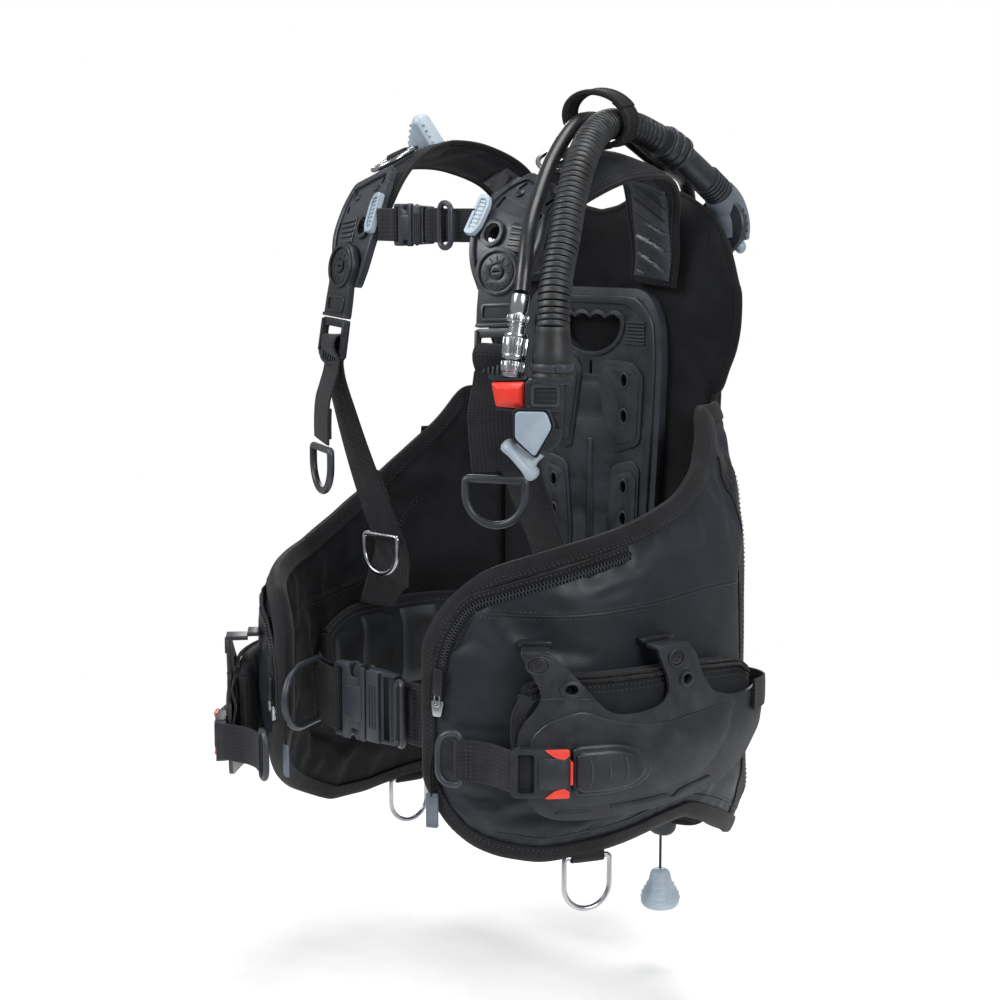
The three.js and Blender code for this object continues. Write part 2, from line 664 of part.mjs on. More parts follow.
const quickCoupler = couplerGroup();
vest.add(quickCoupler);
part("hose_coupler", coupler(), "chrome", quickCoupler);
part("coupler_sleeve", sleeve(), "chrome", quickCoupler);
part("corrugated_hose", tube(hoseRoute, HOSE.radius, 10, 26), "rubber");
part("low_pressure_hose", tube(lowPressureRoute, HOSE.lowPressureRadius, 8, 52), "rubber");
const fitting = new THREE.Group();
fitting.position.set(66, 11, -62);
fitting.rotation.x = Math.PI / 2;
const threadedEnd = turned([[0, 0], [6, 0], [6, 10], [9.5, 11], [9.5, 22], [7, 23], [7, 41.6], [0, 41.6]]);
part("hose_fitting", threadedEnd, "chrome", fitting);
vest.add(fitting);

const collarSeat = collarGroup();
vest.add(collarSeat);
part("hose_collar", collar(), "rubber", collarSeat);
part("shoulder_elbow", elbow(), "moulded");

const shoulderDump = seat({
  at: v3(-120, -97, 301.5), up: v3(0, -0.3, 0.95).normalize(), out: v3(0, -0.95, -0.3).normalize(),
});
vest.add(shoulderDump);
part("shoulder_dump_knob", shoulderKnob(), "grip", shoulderDump);
const cordHeights = [LOWER_DUMP.cordTop, mix(LOWER_DUMP.cordTop, LOWER_DUMP.cordEnd, 0.5), LOWER_DUMP.cordEnd];
const cordRoute = cordHeights.map((z) => [LOWER_DUMP.x, LOWER_DUMP.y, z]);
part("dump_cord", tube(cordRoute, LOWER_DUMP.cordRadius, 8, 4), "rubber");
const lowerKnob = new THREE.Group();
lowerKnob.position.set(LOWER_DUMP.x, LOWER_DUMP.y, LOWER_DUMP.knob);
lowerKnob.rotation.x = Math.PI / 2;
part("lower_dump_knob", dumpKnob(), "grip", lowerKnob);
vest.add(lowerKnob);

export default vest;
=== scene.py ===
"""The looks of a diver's buoyancy compensator vest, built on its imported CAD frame.

Lengths are in millimetres until a mesh is made. +X is the wearer's left, +Y is to the rear and +Z is up.
"""

import json
import math
from collections import namedtuple

import bmesh
import bpy
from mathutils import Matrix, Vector, geometry
from mathutils.bvhtree import BVHTree


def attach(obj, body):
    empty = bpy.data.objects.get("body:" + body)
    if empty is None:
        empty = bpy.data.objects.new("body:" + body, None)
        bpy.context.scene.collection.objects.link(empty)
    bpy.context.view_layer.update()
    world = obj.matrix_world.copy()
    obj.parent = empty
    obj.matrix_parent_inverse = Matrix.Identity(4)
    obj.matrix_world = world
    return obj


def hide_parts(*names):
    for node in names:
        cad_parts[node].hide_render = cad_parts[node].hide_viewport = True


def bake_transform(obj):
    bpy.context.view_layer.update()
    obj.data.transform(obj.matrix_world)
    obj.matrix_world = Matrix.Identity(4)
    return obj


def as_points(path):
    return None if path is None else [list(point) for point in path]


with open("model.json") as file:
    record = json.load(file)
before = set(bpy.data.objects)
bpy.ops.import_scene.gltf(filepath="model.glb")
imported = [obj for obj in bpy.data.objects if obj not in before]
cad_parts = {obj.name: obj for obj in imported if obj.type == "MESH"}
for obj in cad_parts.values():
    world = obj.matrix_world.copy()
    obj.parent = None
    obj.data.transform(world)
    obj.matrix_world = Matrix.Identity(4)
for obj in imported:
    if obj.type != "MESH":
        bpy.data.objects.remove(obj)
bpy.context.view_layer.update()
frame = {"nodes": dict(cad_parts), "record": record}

MM = 0.001
NODE_BODY = {node: body for body, nodes in frame["record"]["behaviour"]["bodies"].items() for node in nodes}
SIDES = ("left", "right")
SIGN = {"left": 1, "right": -1}
SHARP = math.radians(28)  # edges that turn by more are rounded
STITCH = 0.42  # how far a stitch stands out of the cloth, and half its width


def mix(a, b, t):
    return a + (b - a) * t


def clamp(x, low=0.0, high=1.0):
    return max(low, min(high, x))


def ease(x):
    x = clamp(x)
    return x * x * (3 - 2 * x)


def read(table, place):
    """The value at a place in a table of (place, value) rows, straight between them and level past them."""
    if place <= table[0][0]:
        return table[0][1]
    for (p0, v0), (p1, v1) in zip(table, table[1:]):
        if place <= p1:
            return mix(v0, v1, (place - p0) / (p1 - p0))
    return table[-1][1]


def read_soft(table, place, reach=7.0):
    """The same with its corners rounded over the reach."""
    shares = ((-1, 1), (-0.5, 2), (0, 3), (0.5, 2), (1, 1))
    return sum(read(table, place + k * reach) * n for k, n in shares) / 9


# ---- Paths and frames ----


class Path:
    """A centripetal Catmull-Rom curve through points, read by the share of its length."""

    STEPS = 24

    def __init__(self, points):
        p = [Vector(q) for q in points]
        p = [2 * p[0] - p[1], *p, 2 * p[-1] - p[-2]]
        self.samples = []
        for i in range(1, len(p) - 2):
            count = self.STEPS + (i == len(p) - 3)
            self.samples += [self.between(p[i - 1 : i + 3], k / self.STEPS) for k in range(count)]
        self.lengths = [0.0]
        for a, b in zip(self.samples, self.samples[1:]):
            self.lengths.append(self.lengths[-1] + (b - a).length)
        self.length = self.lengths[-1]

    @staticmethod
    def between(four, t):
        p0, p1, p2, p3 = four
        d0, d1, d2 = (math.sqrt((b - a).length) for a, b in zip(four, four[1:]))
        m1 = ((p1 - p0) / d0 - (p2 - p0) / (d0 + d1) + (p2 - p1) / d1) * d1
        m2 = ((p2 - p1) / d1 - (p3 - p1) / (d1 + d2) + (p3 - p2) / d2) * d1
        square = -3 * p1 + 3 * p2 - 2 * m1 - m2
        cube = 2 * p1 - 2 * p2 + m1 + m2
        return p1 + m1 * t + square * t * t + cube * t * t * t

    def at(self, t):
        want = clamp(t) * self.length
        low, high = 0, len(self.lengths) - 1
        while high - low > 1:
            middle = (low + high) // 2
            low, high = (middle, high) if self.lengths[middle] <= want else (low, middle)
        share = (want - self.lengths[low]) / (self.lengths[high] - self.lengths[low])
        return self.samples[low].lerp(self.samples[high], share)

    def tangent(self, t):
        near = 0.004
        return (self.at(min(1, t + near)) - self.at(max(0, t - near))).normalized()

    def points(self, steps):
        return [self.at(i / steps) for i in range(steps + 1)]


Frame = namedtuple("Frame", "at width out up")


def frame_on(path, across, t):
    """A strip's frame at a share of its path: its width, the way out of its face, and back up its path."""
    tangent = path.tangent(t)
    width = Vector(across(t))
    width = (width - tangent * width.dot(tangent)).normalized()
    return Frame(path.at(t), width, tangent.cross(width), -tangent)


def seat(at, up, out):
    """A placing of local X, Y and Z: Y is up, Z is out, and X completes them."""
    up, out = Vector(up).normalized(), Vector(out)
    out = (out - up * out.dot(up)).normalized()
    x = up.cross(out)
    return lambda p: Vector(at) + x * p[0] + up * p[1] + out * p[2]


def seat_on(f, out=0.0, across=0.0):
    return seat(f.at + f.out * out + f.width * across, f.up, f.out)


def upright(x, y, z):
    """A placing that only moves: local Y goes up, and local Z to the rear."""
    return lambda p: Vector((x + p[0], y + p[2], z + p[1]))


def standing(place, x, y, z):
    """A placing at a spot on another one, with local Y and Z changed round."""
    return lambda p: place((x + p[0], y + p[2], z + p[1]))


def mirror(side):
    return Vector((SIGN[side], 1, 1))


def sided(side, place):
    """A placing on the wearer's left, mirrored if the side is right."""
    return lambda p: mirror(side) * place(p)


# ---- Meshes ----


def turns(count):
    """Even steps of angle round a whole turn."""
    return [2 * math.pi * k / count for k in range(count)]


def heading(points, i):
    """The way along a line of points at one of them."""
    return (points[min(i + 1, len(points) - 1)] - points[max(i - 1, 0)]).normalized()


def bridge(bm, a, b):
    """Faces between two closed rows of points."""
    for k in range(len(a)):
        n = (k + 1) % len(a)
        bm.faces.new((a[k], a[n], b[n], b[k]))


def surface(rings, closed=False):
    """A bmesh over rows of points. Each row closes on itself, and the ends are capped unless it is closed."""
    bm = bmesh.new()
    rows = [[bm.verts.new(p) for p in ring] for ring in rings]
    pairs = list(zip(rows, rows[1:])) + ([(rows[-1], rows[0])] if closed else [])
    for a, b in pairs:
        bridge(bm, a, b)
    if not closed:
        for row in (rows[0], rows[-1]):
            bm.faces.new(row)
    return bm


def soften(bm, width, steps=2):
    """Rounds every sharp edge."""
    bm.normal_update()
    sharp = [e for e in bm.edges if len(e.link_faces) == 2 and e.calc_face_angle(0) > SHARP]
    if sharp and width:
        bmesh.ops.bevel(
            bm, geom=sharp, offset=width, segments=steps, profile=0.5, affect="EDGES", clamp_overlap=True,
        )
    return bm


def slab(outline, low, high, holes=(), soft=0.6, steps=2):
    """A bmesh of an outline in the X-Y plane from one Z to another, with holes and rounded edges."""
    loops = [list(outline), *[list(hole) for hole in holes]]
    bm = bmesh.new()
    floor, roof = [], []
    for loop in loops:
        floor.append([bm.verts.new((x, y, low)) for x, y in loop])
        roof.append([bm.verts.new((x, y, high)) for x, y in loop])
    for a, b in zip(floor, roof):
        bridge(bm, a, b)
    triangles = geometry.tessellate_polygon([[Vector((x, y, 0)) for x, y in loop] for loop in loops])
    for level in (floor, roof):
        flat = [v for loop in level for v in loop]
        for t in triangles:
            bm.faces.new([flat[i] for i in t])
    bmesh.ops.recalc_face_normals(bm, faces=bm.faces)
    bmesh.ops.dissolve_limit(bm, angle_limit=0.01, verts=bm.verts, edges=bm.edges, delimit={"NORMAL"})
    return soften(bm, soft, steps)


def turned(profile, sides=32, soft=0.0):
    """A bmesh of (radius, height) steps turned about local Y."""
    steps = [(max(radius, 0.05), height) for radius, height in profile]
    rings = [[(r * math.cos(a), y, r * math.sin(a)) for a in turns(sides)] for r, y in steps]
    return soften(surface(rings), soft)


def arc(x, y, across, up, start, end, count):
    turn = [math.radians(mix(start, end, i / (count - 1))) for i in range(count)]
    return [(x + across * math.cos(a), y + up * math.sin(a)) for a in turn]


def oval(x, y, across, up, count=24):
    return arc(x, y, across, up, 0, 360, count + 1)[:-1]


def circle(x, y, radius, count=24):
    return oval(x, y, radius, radius, count)


def washer(x, y, outer, inner, low, high, soft=0.6, count=28):
    """A flat ring round a place."""
    return slab(circle(x, y, outer, count), low, high, [circle(x, y, inner, count)], soft=soft)


def mirrored(half):
    """An outline from its right half, which is listed from one end to the other."""
    return [*half, *[(-x, y) for x, y in reversed(half)]]


def rounded(a0, a1, b0, b1, radius, count=4):
    """A rectangle with round corners, as (a, b) pairs."""
    r = radius
    return [
        *arc(a1 - r, b1 - r, r, r, 0, 90, count),
        *arc(a0 + r, b1 - r, r, r, 90, 180, count),
        *arc(a0 + r, b0 + r, r, r, 180, 270, count),
        *arc(a1 - r, b0 + r, r, r, 270, 360, count),
    ]


def round_corners(points, radius, count=4):
    """An outline with each corner replaced by an arc-like curve that starts a radius away from it."""
    made = []
    for i, corner in enumerate(points):
        c = Vector(corner)
        before, after = Vector(points[i - 1]) - c, Vector(points[(i + 1) % len(points)]) - c
        reach = min(radius, before.length * 0.45, after.length * 0.45)
        a, b = c + before.normalized() * reach, c + after.normalized() * reach
        for k in range(count + 1):
            t = k / count
            made.append(tuple(a * (1 - t) ** 2 + c * 2 * t * (1 - t) + b * t * t))
    return made


def sliced(bm, step, axis=0):
    """The same solid with an edge across it at every step, so that it can be bent."""
    values = [v.co[axis] for v in bm.verts]
    normal = Vector((0, 0, 0))
    normal[axis] = 1
    at = math.ceil(min(values) / step) * step
    while at < max(values):
        point = normal * at
        bmesh.ops.bisect_plane(bm, geom=[*bm.verts, *bm.edges, *bm.faces], plane_co=point, plane_no=normal)
        at += step
    return bm


def placed(bm, place):
    for v in bm.verts:
        v.co = place(v.co)
    return bm


def tube(points, radius, sides=12, closed=False, flat=1.0):
    """A bmesh of a tube on a line. radius is a number, or a function of the share along the line."""
    points = [Vector(p) for p in points]
    rings, side = [], None
    count = len(points)
    for i, p in enumerate(points):
        along = (points[(i + 1) % count] - points[i - 1]).normalized() if closed else heading(points, i)
        if side is None:
            side = Vector((0, 0, 1)) if abs(along.z) < 0.9 else Vector((1, 0, 0))
        side = (side - along * side.dot(along)).normalized()
        other = along.cross(side)
        r = radius(i / max(1, count - 1)) if callable(radius) else radius
        rings.append([p + side * math.cos(a) * r + other * math.sin(a) * r * flat for a in turns(sides)])
    return surface(rings, closed)


def loop_wire(outline, wire, sides=12, lift=0.0):
    """A closed loop of round wire through (x, y) points."""
    return tube([Vector((x, y, lift)) for x, y in outline], wire, sides, closed=True)


class Piece:
    """The surfaces of one named piece, which become one mesh. It may have a main finish and a placing."""

    def __init__(self, name, finish=None, place=None):
        self.name, self.finish, self.place = name, finish, place
        self.points, self.faces, self.finishes, self.uvs = [], [], [], {}

    def put(self, bm, finish=None):
        """Adds a form through the piece's own placing."""
        return self.add(bm, finish, self.place)

    def add(self, bm, finish=None, place=None):
        """Adds a form that is already where it belongs, or that a placing puts there."""
        finish = finish or self.finish
        if place:
            placed(bm, place)
        start = len(self.points)
        bm.verts.index_update()
        layer = bm.loops.layers.uv.active
        bmesh.ops.recalc_face_normals(bm, faces=bm.faces)
        self.points += [v.co.copy() for v in bm.verts]
        for face in bm.faces:
            if layer:
                self.uvs[len(self.faces)] = [tuple(loop[layer].uv) for loop in face.loops]
            self.faces.append([start + v.index for v in face.verts])
            self.finishes.append(finish)
        bm.free()
        return self

    def mesh(self, crease=32):
        data = bpy.data.meshes.new(self.name)
        data.from_pydata([p * MM for p in self.points], [], self.faces)
        finishes = list(dict.fromkeys(self.finishes))
        for finish in finishes:
            data.materials.append(material(finish))
        for polygon, finish in zip(data.polygons, self.finishes):
            polygon.material_index = finishes.index(finish)
        if self.uvs:
            layer = data.uv_layers.new(name="Strip")
            for index, pairs in self.uvs.items():
                for loop, pair in zip(data.polygons[index].loop_indices, pairs):
                    layer.data[loop].uv = pair
        data.shade_smooth()
        data.set_sharp_from_angle(angle=math.radians(crease))
        made = bpy.data.objects.new(self.name, data)
        bpy.context.scene.collection.objects.link(made)
        return made

    def build(self, *nodes, body=None, slot=None, crease=32):
        """The finished piece. It stands for the nodes and rides on their body, or on the body named."""
        made = self.mesh(crease)
        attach(made, body or NODE_BODY[nodes[0]])
        if nodes:
            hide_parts(*nodes)
        return made


def strip(path, across, width, thick, steps=40, crown=0.0):
    """A bmesh of flat webbing along a path, with a UV map in metres: along it, and across it."""
    read_width = width if callable(width) else (lambda t: width)
    rings, marks = [], []
    for i in range(steps + 1):
        t = i / steps
        f = frame_on(path, across, t)
        half, edge = read_width(t) / 2, thick / 2
        upper = [(-half + edge * 0.6, edge * 0.8), (-half * 0.5, edge + crown * 0.75), (0, edge + crown)]
        lower = [(half - edge * 0.6, -edge * 0.8), (half * 0.5, -edge), (0, -edge)]
        section = [
            (-half, 0), *upper, *[(-a, b) for a, b in upper[1::-1]],
            (half, 0), *lower, *[(-a, b) for a, b in lower[1::-1]],
        ]
        rings.append([f.at + f.width * a + f.out * b for a, b in section])
        marks.append((t * path.length * MM, [a * MM for a, _ in section]))
    bm = surface(rings)
    mark_strip(bm, len(rings[0]), marks)
    return bm


def mark_strip(bm, count, marks):
    """Writes the UV map of a strip whose rows of points were made in order."""
    layer = bm.loops.layers.uv.new("Strip")
    bm.verts.index_update()
    for face in bm.faces:
        for loop in face.loops:
            row, k = divmod(loop.vert.index, count)
            along, across = marks[row]
            loop[layer].uv = (along, across[k])


def stitch_line(piece, points, outs, pitch=3.6, length=2.4):
    """A row of stitches along a line of points, each standing a little out of the cloth."""
    bm = bmesh.new()
    gone, due = 0.0, pitch / 2
    for i in range(len(points) - 1):
        a, b = points[i], points[i + 1]
        span = (b - a).length
        if span < 1e-6:
            continue
        along = (b - a) / span
        while due <= gone + span:
            share = (due - gone) / span
            at, out = a.lerp(b, share), outs[i].lerp(outs[i + 1], share).normalized()
            aside = along.cross(out) * STITCH
            tips = [bm.verts.new(at + along * reach - out * 0.2) for reach in (-length / 2, length / 2)]
            belt = [bm.verts.new(at + way) for way in (aside, out * STITCH, -aside, -out * 0.3)]
            for k in range(4):
                for tip in tips:
                    bm.faces.new((tip, belt[k], belt[(k + 1) % 4]))
            due += pitch
        gone += span
    if bm.verts:
        piece.add(bm, "thread")
    else:
        bm.free()


# ---- Materials ----


def srgb(red, green, blue):
    def linear(c):
        c /= 255
        return c / 12.92 if c <= 0.04045 else ((c + 0.055) / 1.055) ** 2.4

    return (linear(red), linear(green), linear(blue), 1.0)


class Finish:
    """A procedural material: two tones, a roughness that varies, and a relief."""

    def __init__(self, name, tones, rough, metal=0.0, **uniform):
        self.made = bpy.data.materials.new(name)
        self.made.use_nodes = True
        self.tree = self.made.node_tree
        self.shader = self.tree.nodes["Principled BSDF"]
        self.shader.inputs["Metallic"].default_value = metal
        for socket, value in uniform.items():
            self.shader.inputs[socket.replace("_", " ").title().replace("Ior", "IOR")].default_value = value
        self.tones, self.rough = tones, rough
        self.heights = []

    def node(self, kind, **values):
        made = self.tree.nodes.new(kind)
        for key, value in values.items():
            if hasattr(made, key):
                setattr(made, key, value)
            else:
                made.inputs[key.replace("_", " ").title()].default_value = value
        return made

    def link(self, a, b):
        self.tree.links.new(a, b)

    def where(self, kind="Object", stretch=(1, 1, 1), turn=(0, 0, 0)):
        coords = self.node("ShaderNodeTexCoord")
        mapping = self.node("ShaderNodeMapping")
        mapping.inputs["Scale"].default_value = stretch
        mapping.inputs["Rotation"].default_value = [math.radians(a) for a in turn]
        self.link(coords.outputs[kind], mapping.inputs["Vector"])
        return mapping.outputs["Vector"]

    def noise(self, size, detail, where=None):
        made = self.node("ShaderNodeTexNoise", scale=1000.0 / size, detail=detail, roughness=0.55)
        self.link(where or self.where(), made.inputs["Vector"])
        return made.outputs["Fac"]

    def cells(self, size):
        made = self.node("ShaderNodeTexVoronoi", feature="F1", scale=1000.0 / size)
        self.link(self.where(), made.inputs["Vector"])
        return made.outputs["Distance"]

    def ribs(self, pitch, where=None, direction="X"):
        made = self.node("ShaderNodeTexWave", wave_type="BANDS", bands_direction=direction, distortion=0.0)
        made.inputs["Scale"].default_value = 314.0 / pitch
        self.link(where or self.where(), made.inputs["Vector"])
        return made.outputs["Fac"]

    def math(self, operation, a, b):
        made = self.node("ShaderNodeMath", operation=operation)
        for socket, value in zip(made.inputs, (a, b)):
            if isinstance(value, (int, float)):
                socket.default_value = value
            else:
                self.link(value, socket)
        return made.outputs["Value"]

    def ramp(self, fac, low, high, start=0.0, end=1.0):
        made = self.node("ShaderNodeMapRange")
        for name, value in (("From Min", start), ("From Max", end), ("To Min", low), ("To Max", high)):
            made.inputs[name].default_value = value
        self.link(fac, made.inputs["Value"])
        return made.outputs["Result"]

    def blend(self, fac, a, b):
        made = self.node("ShaderNodeMix", data_type="RGBA")
        self.link(fac, made.inputs["Factor"])
        for socket, value in ((made.inputs[6], a), (made.inputs[7], b)):
            if isinstance(value, tuple):
                socket.default_value = value
            else:
                self.link(value, socket)
        return made.outputs[2]

    def relief(self, height, depth):
        """Adds a height in millimetres to the bump."""
        self.heights.append(self.math("MULTIPLY", height, depth))
        return self

    def done(self, patch=None, scuff=0.06):
        """Finishes the material. patch is where the second tone shows, and scuff is how far gloss varies."""
        tone = patch if patch is not None else self.noise(35, 3)
        colour = self.blend(self.ramp(tone, 0, 1, 0.35, 0.7), *self.tones)
        self.link(colour, self.shader.inputs["Base Color"])
        wear = self.noise(9, 6)
        self.link(
            self.ramp(wear, self.rough - scuff, self.rough + scuff, 0.3, 0.7),
            self.shader.inputs["Roughness"],
        )
        if self.heights:
            total = self.heights[0]
            for height in self.heights[1:]:
                total = self.math("ADD", total, height)
            bump = self.node("ShaderNodeBump", strength=1.0)
            bump.inputs["Distance"].default_value = MM
            self.link(total, bump.inputs["Height"])
            self.link(bump.outputs["Normal"], self.shader.inputs["Normal"])
        return self.made


def cloth(name, tones, rough, thread, sheen, crease=0.5):
    """Woven cloth: over and under threads, and soft creases."""
    f = Finish(name, tones, rough, sheen_weight=sheen, sheen_roughness=0.4, specular_ior_level=0.15)
    f.relief(f.ribs(thread, direction="DIAGONAL"), 0.05)
    f.relief(f.ribs(thread, f.where(turn=(0, 90, 0)), "DIAGONAL"), 0.05)
    f.relief(f.noise(26, 3), crease)
    f.relief(f.noise(1.4, 2), 0.05)
    return f.done(scuff=0.05)


def nylon():
    return cloth("Nylon", (srgb(19, 20, 22), srgb(29, 30, 33)), 0.72, 0.9, 0.06, 1.2)


def laminate():
    """Cloth with a smooth satin skin."""
    f = Finish("Laminate", (srgb(27, 30, 36), srgb(35, 39, 46)), 0.46, specular_ior_level=0.3)
    f.relief(f.cells(0.9), 0.05)
    f.relief(f.noise(40, 2), 0.8)
    return f.done(scuff=0.05)


def padding():
    return cloth("Padding", (srgb(24, 25, 28), srgb(34, 36, 40)), 0.74, 1.1, 0.06, 0.6)


def binding():
    f = Finish(
        "Binding", (srgb(17, 18, 20), srgb(27, 28, 31)), 0.75, sheen_weight=0.1, specular_ior_level=0.15,
    )
    f.relief(f.ribs(1.3, f.where("UV")), 0.16)
    f.relief(f.noise(0.8, 2), 0.05)
    return f.done()


def webbing():
    """Narrow cloth with ribs across it and a rope-like edge, coloured lighter on its raised threads and
    darker between them as painted light and shade.
    """
    f = Finish(
        "Webbing", (srgb(23, 24, 27), srgb(38, 39, 43)), 0.68, sheen_weight=0.1, specular_ior_level=0.2,
    )
    across = f.ribs(1.7, f.where("UV"))
    along = f.ribs(3.1, f.where("UV"), "Y")
    weave = f.math("MULTIPLY", across, f.math("ADD", along, 0.5))
    f.relief(weave, 0.24)
    f.relief(f.noise(0.7, 2), 0.05)
    # The weave lifts the second tone on raised threads: a painted highlight on them and painted shade in the
    # grooves, mixed with tone that varies at random.
    return f.done(
        patch=f.math("ADD", f.math("MULTIPLY", weave, 0.35), f.math("MULTIPLY", f.noise(14, 3), 0.7))
    )


def plastic(name, tones, rough, grain=0.035, coat=0.0):
    """Moulded plastic with a fine spark-eroded grain and rubbed edges."""
    f = Finish(name, tones, rough, coat_weight=coat)
    f.relief(f.noise(0.55, 3), grain)
    f.relief(f.noise(30, 2), 0.12)
    edges = f.node("ShaderNodeNewGeometry").outputs["Pointiness"]
    rub = f.ramp(edges, 0, 0.55, 0.505, 0.58)
    patch = f.math("ADD", rub, f.math("MULTIPLY", f.noise(22, 4), 0.8))
    return f.done(patch=patch, scuff=0.07)


def moulded():
    return plastic("Moulded plastic", (srgb(28, 30, 35), srgb(50, 54, 61)), 0.38)


# Dark plastic: a real finish for many parts, and also painted shade where it stands for the inflator's vent
# slots and the elbow valve's holes.
def dark_plastic_and_painted_shade():
    return plastic("Dark plastic", (srgb(22, 23, 26), srgb(40, 42, 46)), 0.36)


def rubber():
    return plastic("Rubber", (srgb(20, 21, 23), srgb(38, 40, 43)), 0.46, 0.05)


def hose_skin():
    return plastic("Hose skin", (srgb(18, 19, 21), srgb(34, 35, 38)), 0.3, 0.02)


def grip():
    return plastic("Grip", (srgb(142, 157, 170), srgb(176, 190, 201)), 0.42, 0.05)


def signal():
    return plastic("Signal red", (srgb(225, 52, 38), srgb(240, 84, 66)), 0.34, 0.03, 0.2)


def silicone():
    f = Finish("Silicone", (srgb(142, 157, 170), srgb(168, 181, 191)), 0.42)
    f.relief(f.noise(0.8, 3), 0.03)
    f.relief(f.noise(12, 2), 0.1)
    return f.done()


def metal(name, tones, rough, grain):
    """Bright metal with fine scratches along it."""
    f = Finish(name, tones, rough, metal=1.0)
    f.relief(f.noise(6, 5, f.where(stretch=(1, 1, 14))), grain)
    f.relief(f.noise(0.5, 2), 0.006)
    return f.done(scuff=0.05)


def chrome():
    return metal("Chrome", (srgb(176, 180, 184), srgb(204, 208, 212)), 0.18, 0.004)


def steel():
    return metal("Steel", (srgb(160, 162, 166), srgb(196, 198, 202)), 0.24, 0.02)


def thread():
    f = Finish("Thread", (srgb(30, 31, 34), srgb(46, 48, 52)), 0.6, sheen_weight=0.2)
    f.relief(f.ribs(0.4, direction="DIAGONAL"), 0.05)
    return f.done()


def tag():
    return cloth("Woven tag", (srgb(92, 100, 110), srgb(118, 127, 138)), 0.65, 0.8, 0.1, 0.1)


def netting():
    """Open-looking knitted mesh: small pits on a grid, darkened with painted shade in its holes."""
    f = Finish("Netting", (srgb(14, 15, 17), srgb(36, 38, 42)), 0.7, specular_ior_level=0.15)
    pits = f.cells(2.6)
    f.relief(f.ramp(pits, 0, 1, 0.15, 0.55), 0.7)
    f.relief(f.noise(30, 3), 0.8)
    # The darker tone sits in the pits: painted shade in the mesh's holes.
    return f.done(patch=f.ramp(pits, 0.3, 0.75, 0.1, 0.6))


FINISHES = {
    "nylon": nylon, "laminate": laminate, "padding": padding, "binding": binding, "webbing": webbing,
    "moulded": moulded, "dark": dark_plastic_and_painted_shade, "rubber": rubber, "hose": hose_skin, "grip": grip,
    "signal": signal, "silicone": silicone, "chrome": chrome, "steel": steel, "thread": thread, "tag": tag,
    "netting": netting,
}
made_finishes = {}


def material(name):
    if name not in made_finishes:
        made_finishes[name] = FINISHES[name]()
    return made_finishes[name]


# ---- Camera, light and floor ----

VIEW = {"azimuth": 42.0, "elevation": 8.5, "distance": 1700.0, "aim": (-69.0, -62.0, 4.0), "lens": 71.16}
FLOOR = -400.0
AMBIENT = 0.35  # how much light the pale room gives, beside what the camera sees of it


def stage_camera():
    a, e = math.radians(VIEW["azimuth"]), math.radians(VIEW["elevation"])
    back = Vector((math.sin(a) * math.cos(e), -math.cos(a) * math.cos(e), math.sin(e)))
    data = bpy.data.cameras.new("Camera")
    data.lens, data.sensor_width, data.clip_end = VIEW["lens"], 36.0, 50.0
    camera = bpy.data.objects.new("Camera", data)
    camera.location = (Vector(VIEW["aim"]) + back * VIEW["distance"]) * MM
    camera.rotation_mode = "QUATERNION"
    camera.rotation_quaternion = (-back).to_track_quat("-Z", "Y")
    bpy.context.scene.collection.objects.link(camera)
    bpy.context.scene.camera = camera


def stage_light():
    world = bpy.data.worlds.new("Studio")
    world.use_nodes = True
    tree = world.node_tree
    sky = tree.nodes["Background"]
    rays = tree.nodes.new("ShaderNodeLightPath")
    level = tree.nodes.new("ShaderNodeMapRange")
    level.inputs["To Min"].default_value, level.inputs["To Max"].default_value = AMBIENT, 1.0
    tree.links.new(rays.outputs["Is Camera Ray"], level.inputs["Value"])
    tree.links.new(level.outputs["Result"], sky.inputs["Strength"])
    sky.inputs["Color"].default_value = (1.0, 1.0, 1.0, 1.0)
    bpy.context.scene.world = world
    bpy.context.scene.view_settings.view_transform = "Standard"
    panels = [  # place in metres, size, power
        ((-1.2, -2.2, 1.6), 1.6, 55.0),
        ((2.4, -0.9, 1.2), 1.4, 42.0),
        ((0.3, 0.2, 2.6), 1.8, 45.0),
        ((-1.6, 1.7, 1.0), 1.2, 20.0),
    ]
    for n, (place, size, power) in enumerate(panels):
        light = bpy.data.lights.new(f"Softbox {n}", "AREA")
        light.shape, light.size, light.energy = "DISK", size, power
        lamp = bpy.data.objects.new(light.name, light)
        lamp.location = place
        lamp.rotation_mode = "QUATERNION"
        lamp.rotation_quaternion = (Vector((0, -0.1, 0)) - Vector(place)).to_track_quat("-Z", "Y")
        bpy.context.scene.collection.objects.link(lamp)


def stage_floor():
    """A pale round floor that fades into the pale room."""
    floor = bmesh.new()
    radius = 1900.0
    floor.faces.new([floor.verts.new((radius * math.cos(a), radius * math.sin(a), FLOOR)) for a in turns(96)])
    data = bpy.data.meshes.new("Floor")
    placed(floor, lambda p: p * MM).to_mesh(data)
    floor.free()
    paint = Finish("Floor", (srgb(248, 248, 248), srgb(253, 253, 253)), 0.9, specular_ior_level=0.1)
    away = paint.node("ShaderNodeVectorMath", operation="LENGTH")
    paint.link(paint.where(), away.inputs[0])
    fade = paint.ramp(away.outputs["Value"], 1.0, 0.0, 0.55, 1.25)
    paint.link(fade, paint.shader.inputs["Alpha"])
    data.materials.append(paint.done())
    made = bpy.data.objects.new("Floor", data)
    bpy.context.scene.collection.objects.link(made)


# ---- Hoses and the dump cord ----

